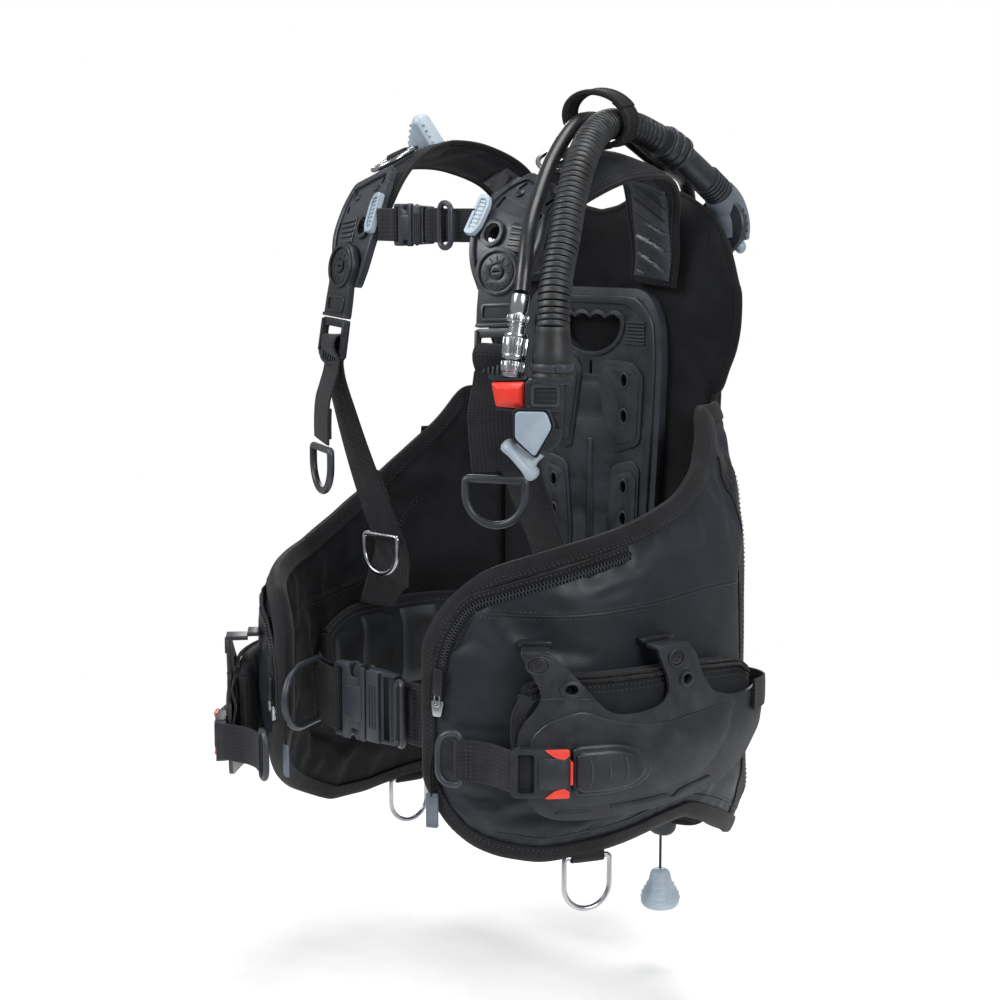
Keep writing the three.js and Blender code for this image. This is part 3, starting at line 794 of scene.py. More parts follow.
HOSE = [
    (148.5, -247.6, 168.3), (147.5, -246, 174.5), (145, -242, 190), (141, -234, 208), (137, -223, 229),
    (129, -206, 257), (118, -180, 288), (103, -146, 308), (95, -118, 316), (96, -90, 314), (100, -67, 306),
]
LOW_PRESSURE = [
    (123.6, -252.6, 194), (121, -247, 212), (113, -233, 237), (104, -214, 258), (91, -182, 288),
    (80, -144, 314), (74, -118, 321), (71, -88, 316), (70, -58, 303), (70, -30, 290), (69, -8, 284),
    (68, 12, 275), (67, 21, 255), (66, 21, 225), (66, 16, 180), (66, 12, 120), (66, 11, 50), (66, 11, -20),
]
DUMP_LINE = [(65, -5, -263.5), (65, -5, -286), (65, -5, -308.6)]
RIB_PITCH, RIB_ROOT, RIB_HEIGHT = 4.6, 9.4, 2.5


def metres(points):
    return [tuple(p * MM) for p in points]


def corrugated_hose():
    """The ribbed hose from the inflator's cuff to the elbow on the shoulder."""
    path = Path(HOSE)
    ribs = round(path.length / RIB_PITCH)
    steps_per_rib = 8

    def radius(t):
        phase = (t * ribs) % 1.0
        return RIB_ROOT + RIB_HEIGHT * ease(clamp(2.2 * math.sin(math.pi * phase)))

    piece = Piece("Corrugated_hose")
    piece.add(tube(path.points(ribs * steps_per_rib), radius, 28), "rubber")
    made = piece.build("corrugated_hose", slot="rubber", crease=60)
    tuple(path.at(0) * MM)
    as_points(metres(path.points(60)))


def low_pressure_hose(fitting):
    path = Path(LOW_PRESSURE)
    piece = Piece("Low_pressure_hose")
    piece.add(tube(path.points(220), 5.6, 20), "hose")
    made = piece.build("low_pressure_hose", slot="rubber", crease=60)
    tuple(path.at(0) * MM)
    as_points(metres(path.points(120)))


def dump_cord(knob):
    """A cord of three twisted strands."""
    path = Path(DUMP_LINE)
    piece = Piece("Dump_cord")
    strands, steps, lay_length, offset = 3, 60, 9, 0.62
    for n in range(strands):
        line = []
        for i in range(steps + 1):
            t = i / steps
            a = 2 * math.pi * (n / strands + t * path.length / lay_length)
            line.append(path.at(t) + Vector((math.cos(a), math.sin(a), 0)) * offset)
        piece.add(tube(line, 0.68, 8), "thread")
    made = piece.build("dump_cord", slot="rubber", crease=60)
    tuple(path.at(0) * MM)
    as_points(metres(path.points(12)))


def hose_fitting():
    """The threaded end that screws into a regulator: a swaged collar, a hexagon and a ringed nose."""
    place = upright(66, 11, -62)
    piece = Piece("Hose_fitting")
    nose = [(0, 0), (4.6, 0)]
    for n in range(5):
        nose += [(6.0, 0.6 + n * 1.8), (5.2, 1.5 + n * 1.8)]
    nose += [(6.0, 9.8), (6.0, 10.6), (0, 10.6)]
    piece.add(turned(nose), "chrome", place)
    piece.add(slab(arc(0, 0, 9.6, 9.6, 0, 300, 6), 11, 22, soft=0.6), "chrome", standing(place, 0, 0, 0))
    collar = [(0, 22), (7.4, 22), (7.8, 23), (7.8, 38), (6.8, 41.6), (0, 41.6)]
    piece.add(turned(collar, soft=0.4), "steel", place)
    for level in (27, 31, 35):
        piece.add(loop_wire(circle(0, 0, 7.8, 32), 0.45, 6), "steel", standing(place, 0, level, 0))
    return piece.build("hose_fitting", slot="chrome")


def lower_knob():
    """A ribbed bell with a flat foot, pulled to dump air from the bottom of the cell."""
    place, height = upright(65, -5, -343), 34
    profile = [
        (0, 0), (9, 0), (14, 1), (16.6, 4), (17, 8), (16.2, 12), (13, 18), (10.6, 23), (9, 29), (7.6, 32),
        (4, height), (0, height),
    ]
    lobes, rings = 3, []
    for q in Path([(r, h, 0) for r, h in profile]).points(36):
        ring = []
        for a in turns(48):
            waist = 1 - 0.1 * math.sin(math.pi * clamp(q.y / height)) * (1 + math.cos(lobes * a)) / 2
            r = max(0.05, q.x * waist)
            ring.append((r * math.cos(a), q.y, r * math.sin(a)))
        rings.append(ring)
    piece = Piece("Lower_dump_knob", "grip", place)
    piece.put(surface(rings))
    for n in range(lobes):
        middle = 2 * math.pi * (n + 0.5) / lobes
        for level, reach in ((8, 17), (12, 16.2), (16, 14.1), (20, 11.9)):
            angles = [middle + b for b in (-0.45, -0.22, 0, 0.22, 0.45)]
            bow = [Vector((reach * math.cos(a), level, reach * math.sin(a))) for a in angles]
            thick = lambda t: 0.3 + 0.75 * math.sin(math.pi * clamp(t, 0.05, 0.95))
            piece.put(tube(bow, thick, 8))
    piece.put(turned([(0, 33), (3, 33), (3.4, 34.2), (0, 34.4)]))
    return piece.build("lower_dump_knob", slot="grip")


dump_cord(lower_knob())
low_pressure_hose(hose_fitting())
corrugated_hose()


# ---- The lobes of the air cell ----

LOBE_LINE = Path(
    [
        (68, -299, 0), (93, -287, 0), (122, -270, 0), (150, -245, 0), (172, -205, 0), (180, -150, 0),
        (177, -92, 0), (163, -50, 0), (138, -18, 0), (107, -3, 0),
    ]
)
LOBE_AHEAD = 27.7  # path length in front of place 0
LOBE_END = LOBE_LINE.length - LOBE_AHEAD - 9
LOBE_START = {"left": -27, "right": 0}
LOBE_HALF = 13.4
LOBE_TOP = {
    "left": [
        (-27, -66), (-22, -50), (-12, -34), (0, -22), (14, -10), (32, -2), (72, 10), (130, 24), (184, 38),
        (230, 60), (268, 88), (285, 96),
    ],
    "right": [
        (0, -84), (6, -66), (20, -50), (58, -40), (128, -28), (170, -10), (206, 10), (250, 46), (278, 68),
        (300, 96),
    ],
}
LOBE_FOOT = {
    "left": [
        (-27, -158), (-20, -178), (-8, -196), (10, -210), (30, -217), (60, -221), (102, -216), (158, -208),
        (192, -206), (240, -226), (290, -248), (330, -256),
    ],
    "right": [
        (0, -146), (14, -170), (34, -192), (60, -210), (102, -234), (158, -260), (202, -262), (250, -256),
        (290, -252), (330, -256),
    ],
}
LOBE_LEAN = 0.26
SKEW = 18.0
BINDING = 11.0
CLOTH_FRAMES = 20


def skew(side, place):
    """The vest hangs a little skewed: what is sewn on the left lobe rides up, and on the right one drops."""
    return SIGN[side] * SKEW * clamp((300 - place) / 150)


def on_lobe(place, z):
    """A frame on the left lobe's middle surface. place is the distance back from its front edge."""
    t = clamp((place + LOBE_AHEAD) / LOBE_LINE.length)
    at, back = LOBE_LINE.at(t), LOBE_LINE.tangent(t)
    out = Vector((back.y, -back.x, 0)).normalized()
    lean = LOBE_LEAN * max(0, z) * clamp((place - 130) / 110) * clamp((LOBE_END - place) / 40)
    return Frame(Vector((at.x, at.y, z)) - out * lean, back, out, Vector((0, 0, 1)))


def lobe_place(side, skewed=False):
    """A placing of (place, z, out) on a lobe."""
    def place(p):
        z = p[1] + (skew(side, p[0]) if skewed else 0)
        f = on_lobe(p[0], z)
        return f.at + f.out * p[2]

    return sided(side, place)


def swell(depth):
    """Half the lobe's thickness at a depth in from its edge."""
    return 2.4 + (LOBE_HALF - 2.4) * math.sin(math.pi / 2 * clamp(depth / 52)) ** 0.8


def lobe_depth(side, place, z):
    near = sorted(
        (
            z - read_soft(LOBE_FOOT[side], place), read_soft(LOBE_TOP[side], place) - z,
            place - LOBE_START[side],
        )
    )
    return max(0.0, near[0] - 6 * max(0, 1 - (near[1] - near[0]) / 24) ** 2)


def simulate(made, firm, pressure, slack, cap):
    """Blows a closed piece up as cloth. firm is how firmly each point stays, and the cap limits its move."""
    rest = [v.co.copy() for v in made.data.vertices]
    group = made.vertex_groups.new(name="Held")
    for index, share in enumerate(firm):
        group.add([index], clamp(share), "REPLACE")
    blow = made.modifiers.new("Cloth", "CLOTH")
    settings = blow.settings
    settings.quality = 6
    settings.mass = 0.2
    settings.tension_stiffness = settings.compression_stiffness = 18
    settings.shear_stiffness = 8
    settings.bending_stiffness = 0.35
    settings.use_pressure = True
    settings.uniform_pressure_force = pressure
    settings.shrink_min = -slack
    settings.vertex_group_mass = group.name
    settings.effector_weights.gravity = 0
    blow.point_cache.frame_start, blow.point_cache.frame_end = 1, CLOTH_FRAMES
    for f in range(1, CLOTH_FRAMES + 1):
        bpy.context.scene.frame_set(f)
    moved = made.evaluated_get(bpy.context.evaluated_depsgraph_get()).data
    places = [v.co.copy() for v in moved.vertices]
    made.modifiers.remove(blow)
    bpy.context.scene.frame_set(1)
    for v, old, new in zip(made.data.vertices, rest, places):
        step = new - old
        far = step.length
        v.co = old + (step * min(1.0, cap * MM / far) if far > 1e-9 else step)
    made.vertex_groups.clear()
    made.data.update()
    return made


def settle(made):
    """Adds subdivision and applies it."""
    made.modifiers.new("Smooth", "SUBSURF").levels = 1
    data = bpy.data.meshes.new_from_object(made.evaluated_get(bpy.context.evaluated_depsgraph_get()))
    made.modifiers.clear()
    made.data = data
    data.shade_smooth()
    return made


def padded_piece(piece, node, firm, pressure, slack, cap):
    """Blows up a piece that is padded cloth, and puts it on the vest in its node's place."""
    made = settle(simulate(piece.mesh(crease=180), firm, pressure, slack, cap))
    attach(made, "vest")
    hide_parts(node)
    return made


def padded_strip(name, node, place, half, reach, thick, steps=60, cap=1.6):
    """A foam pad in cloth. half gives half its width at a distance along it, within the reach."""
    rings, firm = [], []
    for i in range(steps + 1):
        along = mix(*reach, i / steps)
        wide, near = half(along), min(i, steps - i)
        rise = thick * clamp(near / 3 + 0.35)
        ring = []
        for a in turns(28):
            x, y = math.cos(a), math.sin(a)
            across = wide * math.copysign(abs(x) ** 0.7, x)
            ring.append(place((across, along, rise * math.copysign(abs(y) ** 0.75, y))))
            firm.append(1 - ease((wide - 3 - abs(across)) / 8) * ease(near / 4))
        rings.append(ring)
    piece = Piece(name)
    piece.add(surface(rings), "padding")
    return padded_piece(piece, node, firm, pressure=3.0, slack=0.03, cap=cap)


def cushion(place, across, along, low, high, columns=10, rows=14, ridge=None):
    """A raised panel on a strip, swelling from its edges. ridge(u, v) scales its height inside them."""
    rings = []
    for i in range(rows + 1):
        v = mix(-1, 1, i / rows)
        top, foot = [], []
        for k in range(columns + 1):
            u = mix(-1, 1, k / columns)
            rise = ((1 - u ** 6) * (1 - v ** 6)) ** 0.5 * (ridge(u, v) if ridge else 1)
            a, s = mix(*across, (u + 1) / 2), mix(*along, (v + 1) / 2)
            top.append(place((a, s, mix(low, high, rise))))
            foot.append(place((a, s, low - math.copysign(0.5, high - low))))
        rings.append([*top, *reversed(foot)])
    return surface(rings)


class Skin:
    """The finished surface of a simulated lobe, for what is sewn on it."""

    def __init__(self, made, side):
        points, faces = [v.co.copy() for v in made.data.vertices], [
            tuple(p.vertices) for p in made.data.polygons
        ]
        self.tree = BVHTree.FromPolygons(points, faces)
        self.side = side

    def at(self, place, z, lift=0.0, face=1):
        """A point on the outer face, or on the inner one if face is -1, and the way out of it."""
        f, flip = on_lobe(place, z), mirror(self.side)
        out = f.out * face
        start, way = flip * (f.at + out * 45), flip * -out
        hit = self.tree.ray_cast(start * MM, way, 60 * MM)[0]
        if hit is None:
            hit = flip * (f.at + out * swell(lobe_depth(self.side, place, z))) * MM
        return hit / MM - way * lift, -way


def lobe_shell(side):
    start, place = LOBE_START[side], lobe_place(side)
    columns, rows = 60, 46
    piece = Piece(f"Air_cell_lobe_{side}")
    rings, firm = [], []
    for i in range(columns + 1):
        # Columns crowd towards the front edge, where the lobe closes.
        along = mix(start, LOBE_END, (i / columns) ** 1.08)
        foot, top = read_soft(LOBE_FOOT[side], along), read_soft(LOBE_TOP[side], along)
        levels = [mix(foot, top, j / rows) for j in range(rows + 1)]
        depths = [lobe_depth(side, along, z) for z in levels]
        halves = [swell(depth) * 0.86 for depth in depths]
        share = [1 - ease((depth - 9) / 16) for depth in depths]
        firm += [*share, *reversed(share)]
        outer = [place((along, z, h)) for z, h in zip(levels, halves)]
        inner = [place((along, z, -h)) for z, h in zip(levels, halves)]
        rings.append([*outer, *reversed(inner)])
    piece.add(surface(rings), "laminate")
    around = len(rings[0])
    piece.finishes = ["nylon" if n % around > rows else "laminate" for n in range(len(piece.faces))]
    node = f"air_cell_{side}"
    made = padded_piece(piece, node, firm, pressure=3.5, slack=0.035, cap=4.5)
    return Skin(made, side)


def lobe_rim(side):
    """The lobe's edge as (place, z) points, from the armhole's back round the front to the foot's back."""
    start = LOBE_START[side]
    steps = [mix(LOBE_END, start, i / 110) for i in range(111)]
    top = [(s, read_soft(LOBE_TOP[side], s)) for s in steps]
    foot = [(s, read_soft(LOBE_FOOT[side], s)) for s in reversed(steps)]
    high, low = top[-1][1], foot[0][1]
    front = [(start, mix(high, low, i / 24)) for i in range(1, 24)]
    line = [Vector(p) for p in (*top, *front, *foot)]
    for _ in range(3):
        line = [line[0], *[(a + b * 2 + c) / 4 for a, b, c in zip(line, line[1:], line[2:])], line[-1]]
    return line


def inward_of(line, i):
    along = line[min(i + 1, len(line) - 1)] - line[max(i - 1, 0)]
    return Vector((-along.y, along.x)).normalized()


def rim_point(side, line, i, depth, lift, face=1):
    """A point at a depth in from the rim and a lift off the lobe's face, in world millimetres."""
    spot = line[i] + inward_of(line, i) * depth
    return lobe_place(side)((spot.x, spot.y, face * (swell(max(0, depth)) + lift)))


def lobe_binding(side):
    """Wide tape folded over the lobe's whole edge, sewn down on both faces."""
    line = lobe_rim(side)
    piece = Piece(f"Lobe_binding_{side}")
    profile = [(BINDING, 0.2), (BINDING - 0.3, 1.4), (7, 1.7), (3, 1.7), (0.4, 1.5)]
    rings, marks, run = [], [], 0.0
    place = lobe_place(side)
    for i, spot in enumerate(line):
        ring, across = [], []
        for depth, lift in profile:
            ring.append(rim_point(side, line, i, depth, lift))
            across.append(depth * MM)
        for out in (2.2, -2.2):
            edge = spot - inward_of(line, i) * 1.6
            ring.append(place((edge.x, edge.y, out)))
            across.append(-out * MM)
        for depth, lift in reversed(profile):
            ring.append(rim_point(side, line, i, depth, lift, -1))
            across.append(-depth * MM)
        rings.append(ring)
        run += (line[i] - line[i - 1]).length if i else 0
        marks.append((run * MM, across))
    bm = surface(rings)
    mark_strip(bm, len(rings[0]), marks)
    piece.add(bm, "binding")
    for face in (1, -1):
        for depth in (8.6, 6.6):
            points = [rim_point(side, line, i, depth, 1.55, face) for i in range(len(line))]
            outs = [rim_point(side, line, i, depth, 9, face) - p for i, p in enumerate(points)]
            stitch_line(piece, points, outs)
    return piece.build(body="vest", slot="webbing")


skins = {side: lobe_shell(side) for side in SIDES}
for side in SIDES:
    lobe_binding(side)


def on_skin(side, spots, lift=0.0, face=1):
    found = [skins[side].at(a, b, lift, face) for a, b in spots]
    return [p for p, _ in found], [n for _, n in found]


def spread(spots, step):
    """Points at an even step along a line of (place, z) corners, on one smooth curve."""
    path = Path([(a, b, 0) for a, b in spots])
    count = max(2, round(path.length / step))
    return [(p.x, p.y) for p in path.points(count)]


def lobe_seam(piece, side, spots, face=1):
    """A lapped seam: a low ridge of cloth with a stitch row on each side."""
    line = spread(spots, 4)
    points, outs = on_skin(side, line, 0.1, face)
    piece.add(tube(points, 0.9, 8, flat=0.8), "laminate" if face > 0 else "nylon")
    for shift in (-2.6, 2.6):
        near = [(a, b + shift) for a, b in line]
        points, outs = on_skin(side, near, 0.15, face)
        stitch_line(piece, points, outs)


def lobe_seams(side):
    piece = Piece(f"Lobe_seams_{side}")
    lift = 0 if side == "left" else -36
    front = [(8, -34), (70, -36), (140, -33), (200, -30), (252, -33)]
    inside = [(30, -60), (110, -45), (190, -30)]
    foot = [(s, read_soft(LOBE_FOOT[side], s) + 19) for s in (28, 60, 90, 120, 150, 180, 210, 240, 262)]
    lobe_seam(piece, side, [(s, z + lift) for s, z in front])
    lobe_seam(piece, side, foot)
    lobe_seam(piece, side, [(272, 60), (268, 10), (266, -60), (268, -140), (272, -215)])
    lobe_seam(piece, side, [*[(s, z + lift) for s, z in inside], (255, 0)], face=-1)
    lobe_seam(piece, side, [(200, 24 + lift), (206, -60), (212, -140), (216, -196)], face=-1)
    return piece.build(body="vest", slot="laminate")


def rear_tape(side):
    """A broad tape sewn down the lobe's rear, with a rib at every other row."""
    piece = Piece(f"Rear_tape_{side}")
    places, top, row_step, rows = [261 + 4 * i for i in range(7)], 62, 2.1, 139
    rings = []
    for row in range(rows):
        line = [(place, top - row_step * row) for place in places]
        outer, inner = (on_skin(side, line, lift)[0] for lift in (1.2 if row % 2 else 1.0, -0.4))
        rings.append([*outer, *reversed(inner)])
    piece.add(surface(rings), "binding")
    for place in (263.5, 282.5):
        points, outs = on_skin(side, [(place, 60 - 4 * i) for i in range(71)], 1.5)
        stitch_line(piece, points, outs)
    return piece.build(body="vest", slot="nylon")


def zip_track(name, side, spots):
    """A coil zip sewn on its tape: two rows of interlocking teeth, and a slider at its start."""
    piece = Piece(name)
    middle, outs = on_skin(side, spread(spots, 2.4), 0.5)
    headings = [heading(middle, i) for i in range(len(middle))]
    asides = [out.cross(along).normalized() for out, along in zip(outs, headings)]
    section = ((-8, -0.4), (-7.6, 0.5), (0, 0.9), (7.6, 0.5), (8, -0.4), (0, -0.6))
    rings = [[p + aside * a + out * b for a, b in section] for p, out, aside in zip(middle, outs, asides)]
    piece.add(surface(rings), "binding")
    for shift in (-5.6, 5.6):
        points = [p + a * shift + o * 0.65 for p, a, o in zip(middle, asides, outs)]
        stitch_line(piece, points, outs)
    teeth = bmesh.new()
    cube_faces = ((0, 1, 3, 2), (4, 6, 7, 5), (0, 4, 5, 1), (2, 3, 7, 6), (0, 2, 6, 4), (1, 5, 7, 3))
    for p, out, aside, along in zip(middle, outs, asides, headings):
        for sign in (-1, 1):
            centre = p + aside * sign * 1.15 + along * (0.6 * sign) + out * 1.5
            spans = (along * 0.62, aside * 1.5, out * 0.75)
            corners = [
                teeth.verts.new(centre + spans[0] * a + spans[1] * b + spans[2] * c)
                for a in (-1, 1) for b in (-1, 1) for c in (-1, 1)
            ]
            for face in cube_faces:
                teeth.faces.new([corners[k] for k in face])
    piece.add(teeth, "dark")
    out, aside = outs[2], asides[2]
    place = seat(middle[2] + out * 2.2, out.cross(aside), out)
    slider = round_corners([(-5, -6), (5, -6), (3.4, 6), (-3.4, 6)], 2)
    piece.add(slab(slider, -1.6, 2.2, soft=0.7), "steel", place)
    piece.add(loop_wire(rounded(-2, 2, -11, -2, 1.8), 0.7, 8, lift=3.0), "steel", place)
    piece.add(slab(rounded(-3.6, 3.6, -30, -10, 1.6), 2.0, 4.0, soft=0.5), "dark", place)
    return piece.build(body="vest", slot="moulded")


for side in SIDES:
    lobe_seams(side)
    rear_tape(side)
zip_track(
    "Pocket_zip_left", "left",
    [(-13, -112), (-11, -84), (-3, -54), (12, -32), (36, -22), (74, -10), (124, 4)],
)
zip_track("Pocket_zip_right", "right", [(14, -152), (14, -118), (20, -88), (36, -72), (70, -62), (124, -50)])


# ---- Shoulder straps and harness ----

WEBBING = {"waist": 50, "shoulder": 36, "chest": 25, "thick": 2.2}
STRAP_WIDTH = [(0, 44), (0.15, 50), (0.35, 60), (0.5, 62), (0.75, 56), (0.88, 48)]
HARNESS_WIDTH = [(0.72, 42), (0.79, 54), (0.88, 62), (0.95, 50), (1, 36)]
PLATE_IN, PLATE_OUT = 5.6, 10.6
PIVOT = 0.955


def shoulder_line(side):
    lift = 10 if side == "right" else 0
    return Path(
        [
            (64, -23, 190), (67, -24, 216), (68, -29, 243 + lift / 3), (78, -46, 267 + lift),
            (92, -78, 283 + lift), (100, -110, 286 + lift), (99, -143, 280 + lift), (90, -176, 264 + lift),
            (80, -201, 245 + lift / 2), (78, -214, 221), (80, -219, 190),
        ]
    )


SHOULDER = {side: shoulder_line(side) for side in SIDES}


def strap_across(t):
    rear, top, front = Vector((1, 0, 0)), Vector((0.94, 0, -0.34)), Vector((0.966, 0.259, 0))
    return rear.lerp(top, t * 2) if t < 0.5 else top.lerp(front, t * 2 - 1)


def shoulder_frame(side, t):
    return frame_on(SHOULDER[side], strap_across, t)


def on_strap(side, start=0.0):
    """A placing of (across, distance along from a share of the path, out) on a shoulder strap."""
    length = SHOULDER[side].length

    def place(p):
        f = shoulder_frame(side, start + p[1] / length)
        return f.at + f.width * p[0] + f.out * p[2]

    return sided(side, place)


def strap_half(side, inset):
    """Half the strap's width less an inset, at a distance along it."""
    return lambda along: read_soft(STRAP_WIDTH, along / SHOULDER[side].length, 0.05) / 2 - inset


def shoulder_strap(side):
    reach = (0, 0.88 * SHOULDER[side].length)
    padded_strip(
        f"Shoulder_strap_pad_{side}", f"shoulder_strap_{side}", on_strap(side), strap_half(side, 2.2),
        reach, 3.6, 78,
    )


def shoulder_trim(side):
    """Piping round the strap's edges, its stitching, and the ribbed lining where it meets the back plate."""
    place, length = on_strap(side), SHOULDER[side].length
    piece = Piece(f"Shoulder_strap_trim_{side}")
    shares = [0.004 + 0.872 * i / 110 for i in range(111)]
    halves = [read_soft(STRAP_WIDTH, t, 0.05) / 2 for t in shares]
    for sign in (-1, 1):
        edge = [place((sign * (half - 1.6), t * length, 0)) for t, half in zip(shares, halves)]
        piece.add(tube(edge, 2.0, 10), "binding")
        for face in (-1, 1):
            outs = [place((0, t * length, face * 50)) - place((0, t * length, face * 40)) for t in shares]
            for depth, lift in ((5.2, 2.9), (8.2, 3.5)):
                spots = [(sign * (half - depth), t * length, face * lift) for t, half in zip(shares, halves)]
                stitch_line(piece, [place(spot) for spot in spots], outs)
    ridge = lambda u, v: 0.3 + 0.7 * clamp(3 * abs(math.sin(math.pi * (3 * v + 0.55 * u + 0.1 * u * u))))
    piece.add(cushion(place, (-18, 18), (6, 0.31 * length), -3.6, -6.6, 14, 96, ridge), "moulded")
    return piece.build(body="vest", slot="padding")


def harness_plate(side):
    """A moulded spine on the strap's front: a rim, slots along its edges, a boss and a ribbed webbing lug."""
    length = SHOULDER[side].length
    start = 0.72
    place = on_strap(side, start)
    shares = (start, 0.745, 0.77, 0.79, 0.82, 0.85, 0.88, 0.91, 0.935, 0.955, 0.98, 1.0)
    half = lambda s: read_soft(HARNESS_WIDTH, start + s / length, 0.02) / 2
    edge = [(read_soft(HARNESS_WIDTH, t, 0.02) / 2, (t - start) * length) for t in shares]
    end = edge[-1][1]
    outline = round_corners(mirrored(edge), 5)
    rim = round_corners(mirrored([(a - 4.6, s) for a, s in edge[1:-1]]), 5)
    holes = []
    for sign in (-1, 1):
        for s in (14, 30):
            a = sign * (half(s) - 8.6)
            holes.append(rounded(a - 1.5, a + 1.5, s - 4, s + 4, 1.4))
    holes.append(circle(-12, 50, 6.2, 20))
    bent = lambda form: sliced(form, 6, 1)
    piece = Piece(f"Harness_plate_{side}", "moulded", place)
    piece.put(bent(slab(outline, PLATE_IN, PLATE_OUT - 0.8, holes, soft=0.8)))
    piece.put(bent(slab(outline, PLATE_OUT - 1.2, PLATE_OUT + 1.2, [rim], soft=0.7)))
    boss = washer(-12, 50, 9.2, 6.2, PLATE_OUT - 1, PLATE_OUT + 2.0, soft=0.8)
    piece.put(bent(boss))
    for n in range(5):
        rib = rounded(2, 21 - n * 0.6, 42 + n * 4.2, 44.4 + n * 4.2, 1.1)
        piece.put(slab(rib, PLATE_OUT - 1, PLATE_OUT + 1.5, soft=0.5))
    piece.put(slab(rounded(1, 22, 39.5, 63, 3), PLATE_OUT - 1, PLATE_OUT + 0.4, soft=0.5))
    rivet = [(0, 0), (3.2, 0), (3.0, 1.4), (1.6, 2.0), (0, 2.0)]
    for a, s in ((-11, 20), (11, 20), (0, end - 6)):
        piece.add(turned(rivet, 20), "dark", standing(place, a, s, PLATE_OUT - 0.9))
    for s in (16, 32):
        a = 1 - half(s)
        loop = rounded(a - 1.6, a + 2.2, s - 5.5, s + 5.5, 1.6)
        piece.put(slab(loop, PLATE_IN + 0.4, PLATE_OUT + 1.6, soft=0.7))
    return piece.build(f"harness_plate_{side}", slot="moulded")


def pivot_seat(side):
    return sided(side, seat_on(shoulder_frame(side, PIVOT), PLATE_OUT))


def swivel_buckle(side):
    """A round swivel with a plain raised crown and a tongue that carries the ladder buckle."""
    place = pivot_seat(side)
    piece = Piece(f"Swivel_buckle_{side}", "moulded", place)
    disc = arc(0, 0, 19, 19, -34, 214, 40)
    body = round_corners([*disc[::3], (-17, -26), (-17.3, -40), (17.3, -40), (17, -26)], 3, 3)
    key_slot = rounded(-3, 3, -0.6, 0.6, 0.5, 2)
    piece.put(slab(body, 0.4, 6.4, soft=1.1, steps=3))
    piece.put(washer(0, 0, 17.2, 14.8, 6, 8.2, count=48))
    piece.put(slab(circle(0, 0, 13.2, 40), 6, 7.2, [circle(0, 0, 6.4)], soft=0.4))
    piece.put(slab(circle(0, 0, 5.0), 6, 8.0, [key_slot], soft=0.5), "dark")
    for n in range(12):
        a = math.radians(30 * n)
        spoke = [(8.2, -0.55), (11.8, -0.55), (11.8, 0.55), (8.2, 0.55)]
        spoke = [(x * math.cos(a) - y * math.sin(a), x * math.sin(a) + y * math.cos(a)) for x, y in spoke]
        piece.put(slab(spoke, 7, 7.8, soft=0.25, steps=1))
    window = rounded(-11, 11, -34, -25, 2)
    piece.put(slab(rounded(-13, 13, -36, -23, 3), 6.2, 7.4, [window], soft=0.4))
    piece.put(slab(rounded(-17.4, 17.4, -40, -37.4, 1), 1, 7.6, soft=0.6))
    return piece.build(f"swivel_buckle_{side}", slot="moulded")


def ladder_buckle(side):
    """A frame with two webbing slots, a bar between them and a ribbed lift tab."""
    place = pivot_seat(side)
    piece = Piece(f"Ladder_buckle_{side}", "moulded", place)
    foot = arc(0, -70, 16.4, 8, 180, 360, 15)[1:-1]
    outline = round_corners([(-17.5, -41), (-18.4, -70), *foot, (18.4, -70), (17.5, -41)], 2.5, 3)
    slots = [rounded(-15.2, 15.2, -64, -57.4, 1), rounded(-15.2, 15.2, -54, -47.4, 1)]
    piece.put(slab(outline, 1, 6, slots, soft=0.8))
    for x in (-16.6, 16.6):
        piece.put(slab(rounded(x - 1.3, x + 1.3, -68, -42, 1.1), 5, 7.4, soft=0.6))
    bar = [place((x, -55.7, 4.4)) for x in (-16, -8, 0, 8, 16)]
    piece.add(tube(bar, 2.0, 14), "dark")
    for n in range(6):
        x, low = -9.5 + 3.8 * n, -75.6 + abs(n - 2.5) * 0.7
        piece.put(slab(rounded(x - 0.9, x + 0.9, low, -67.5, 0.8), 5.4, 7.2, soft=0.4))
    return piece.build(f"ladder_buckle_{side}", slot="moulded")


def box_stitch(piece, place, half, low, high, lift):
    """A square of stitching with a cross in it, where webbing is doubled over."""
    corners = [(-half, low), (half, low), (half, high), (-half, high), (-half, low)]
    lines = [*zip(corners, corners[1:]), (corners[0], corners[2]), (corners[1], corners[3])]
    for a, b in lines:
        spots = [(mix(a[0], b[0], i / 8), mix(a[1], b[1], i / 8)) for i in range(9)]
        points = [place((x, y, lift)) for x, y in spots]
        outs = [place((x, y, lift + 10)) - p for (x, y), p in zip(spots, points)]
        stitch_line(piece, points, outs, pitch=3.0, length=2.2)


def along_path(path, across, flip):
    """A placing of (across, distance along, out) on a strip's path."""
    def place(p):
        f = frame_on(path, across, p[1] / path.length)
        return flip * (f.at + f.width * p[0] + f.out * p[2])

    return place


def flat_webbing(name, side, points, across, width, body, node, folds=(), blend=None):
    """Webbing along points, with box stitching at each (start, end) fold."""
    path, flip = Path(points), mirror(side)
    bm = strip(path, across, width, WEBBING["thick"], steps=46, crown=0.2)
    piece = Piece(name)
    piece.add(bm, "webbing", lambda p: flip * Vector(p))
    place = along_path(path, across, flip)
    half = WEBBING["shoulder"] / 2
    for low, high, face in folds:
        patch = rounded(-half + 0.6, half - 0.6, low - 2, high + 2, 1.5)
        z0, z1 = (0.6, 2.9) if face > 0 else (-2.9, -0.6)
        piece.add(sliced(slab(patch, z0, z1, soft=0.5), 5, 1), "webbing", place)
        box_stitch(piece, place, half - 3.5, low, high, face * 2.9)
    if not blend:
        return piece.build(node, body=body, slot="webbing")
    made = piece.mesh()
    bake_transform(made)
    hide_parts(node)
    return made


def tail_across(t):
    return (0.9, 0.43, 0)


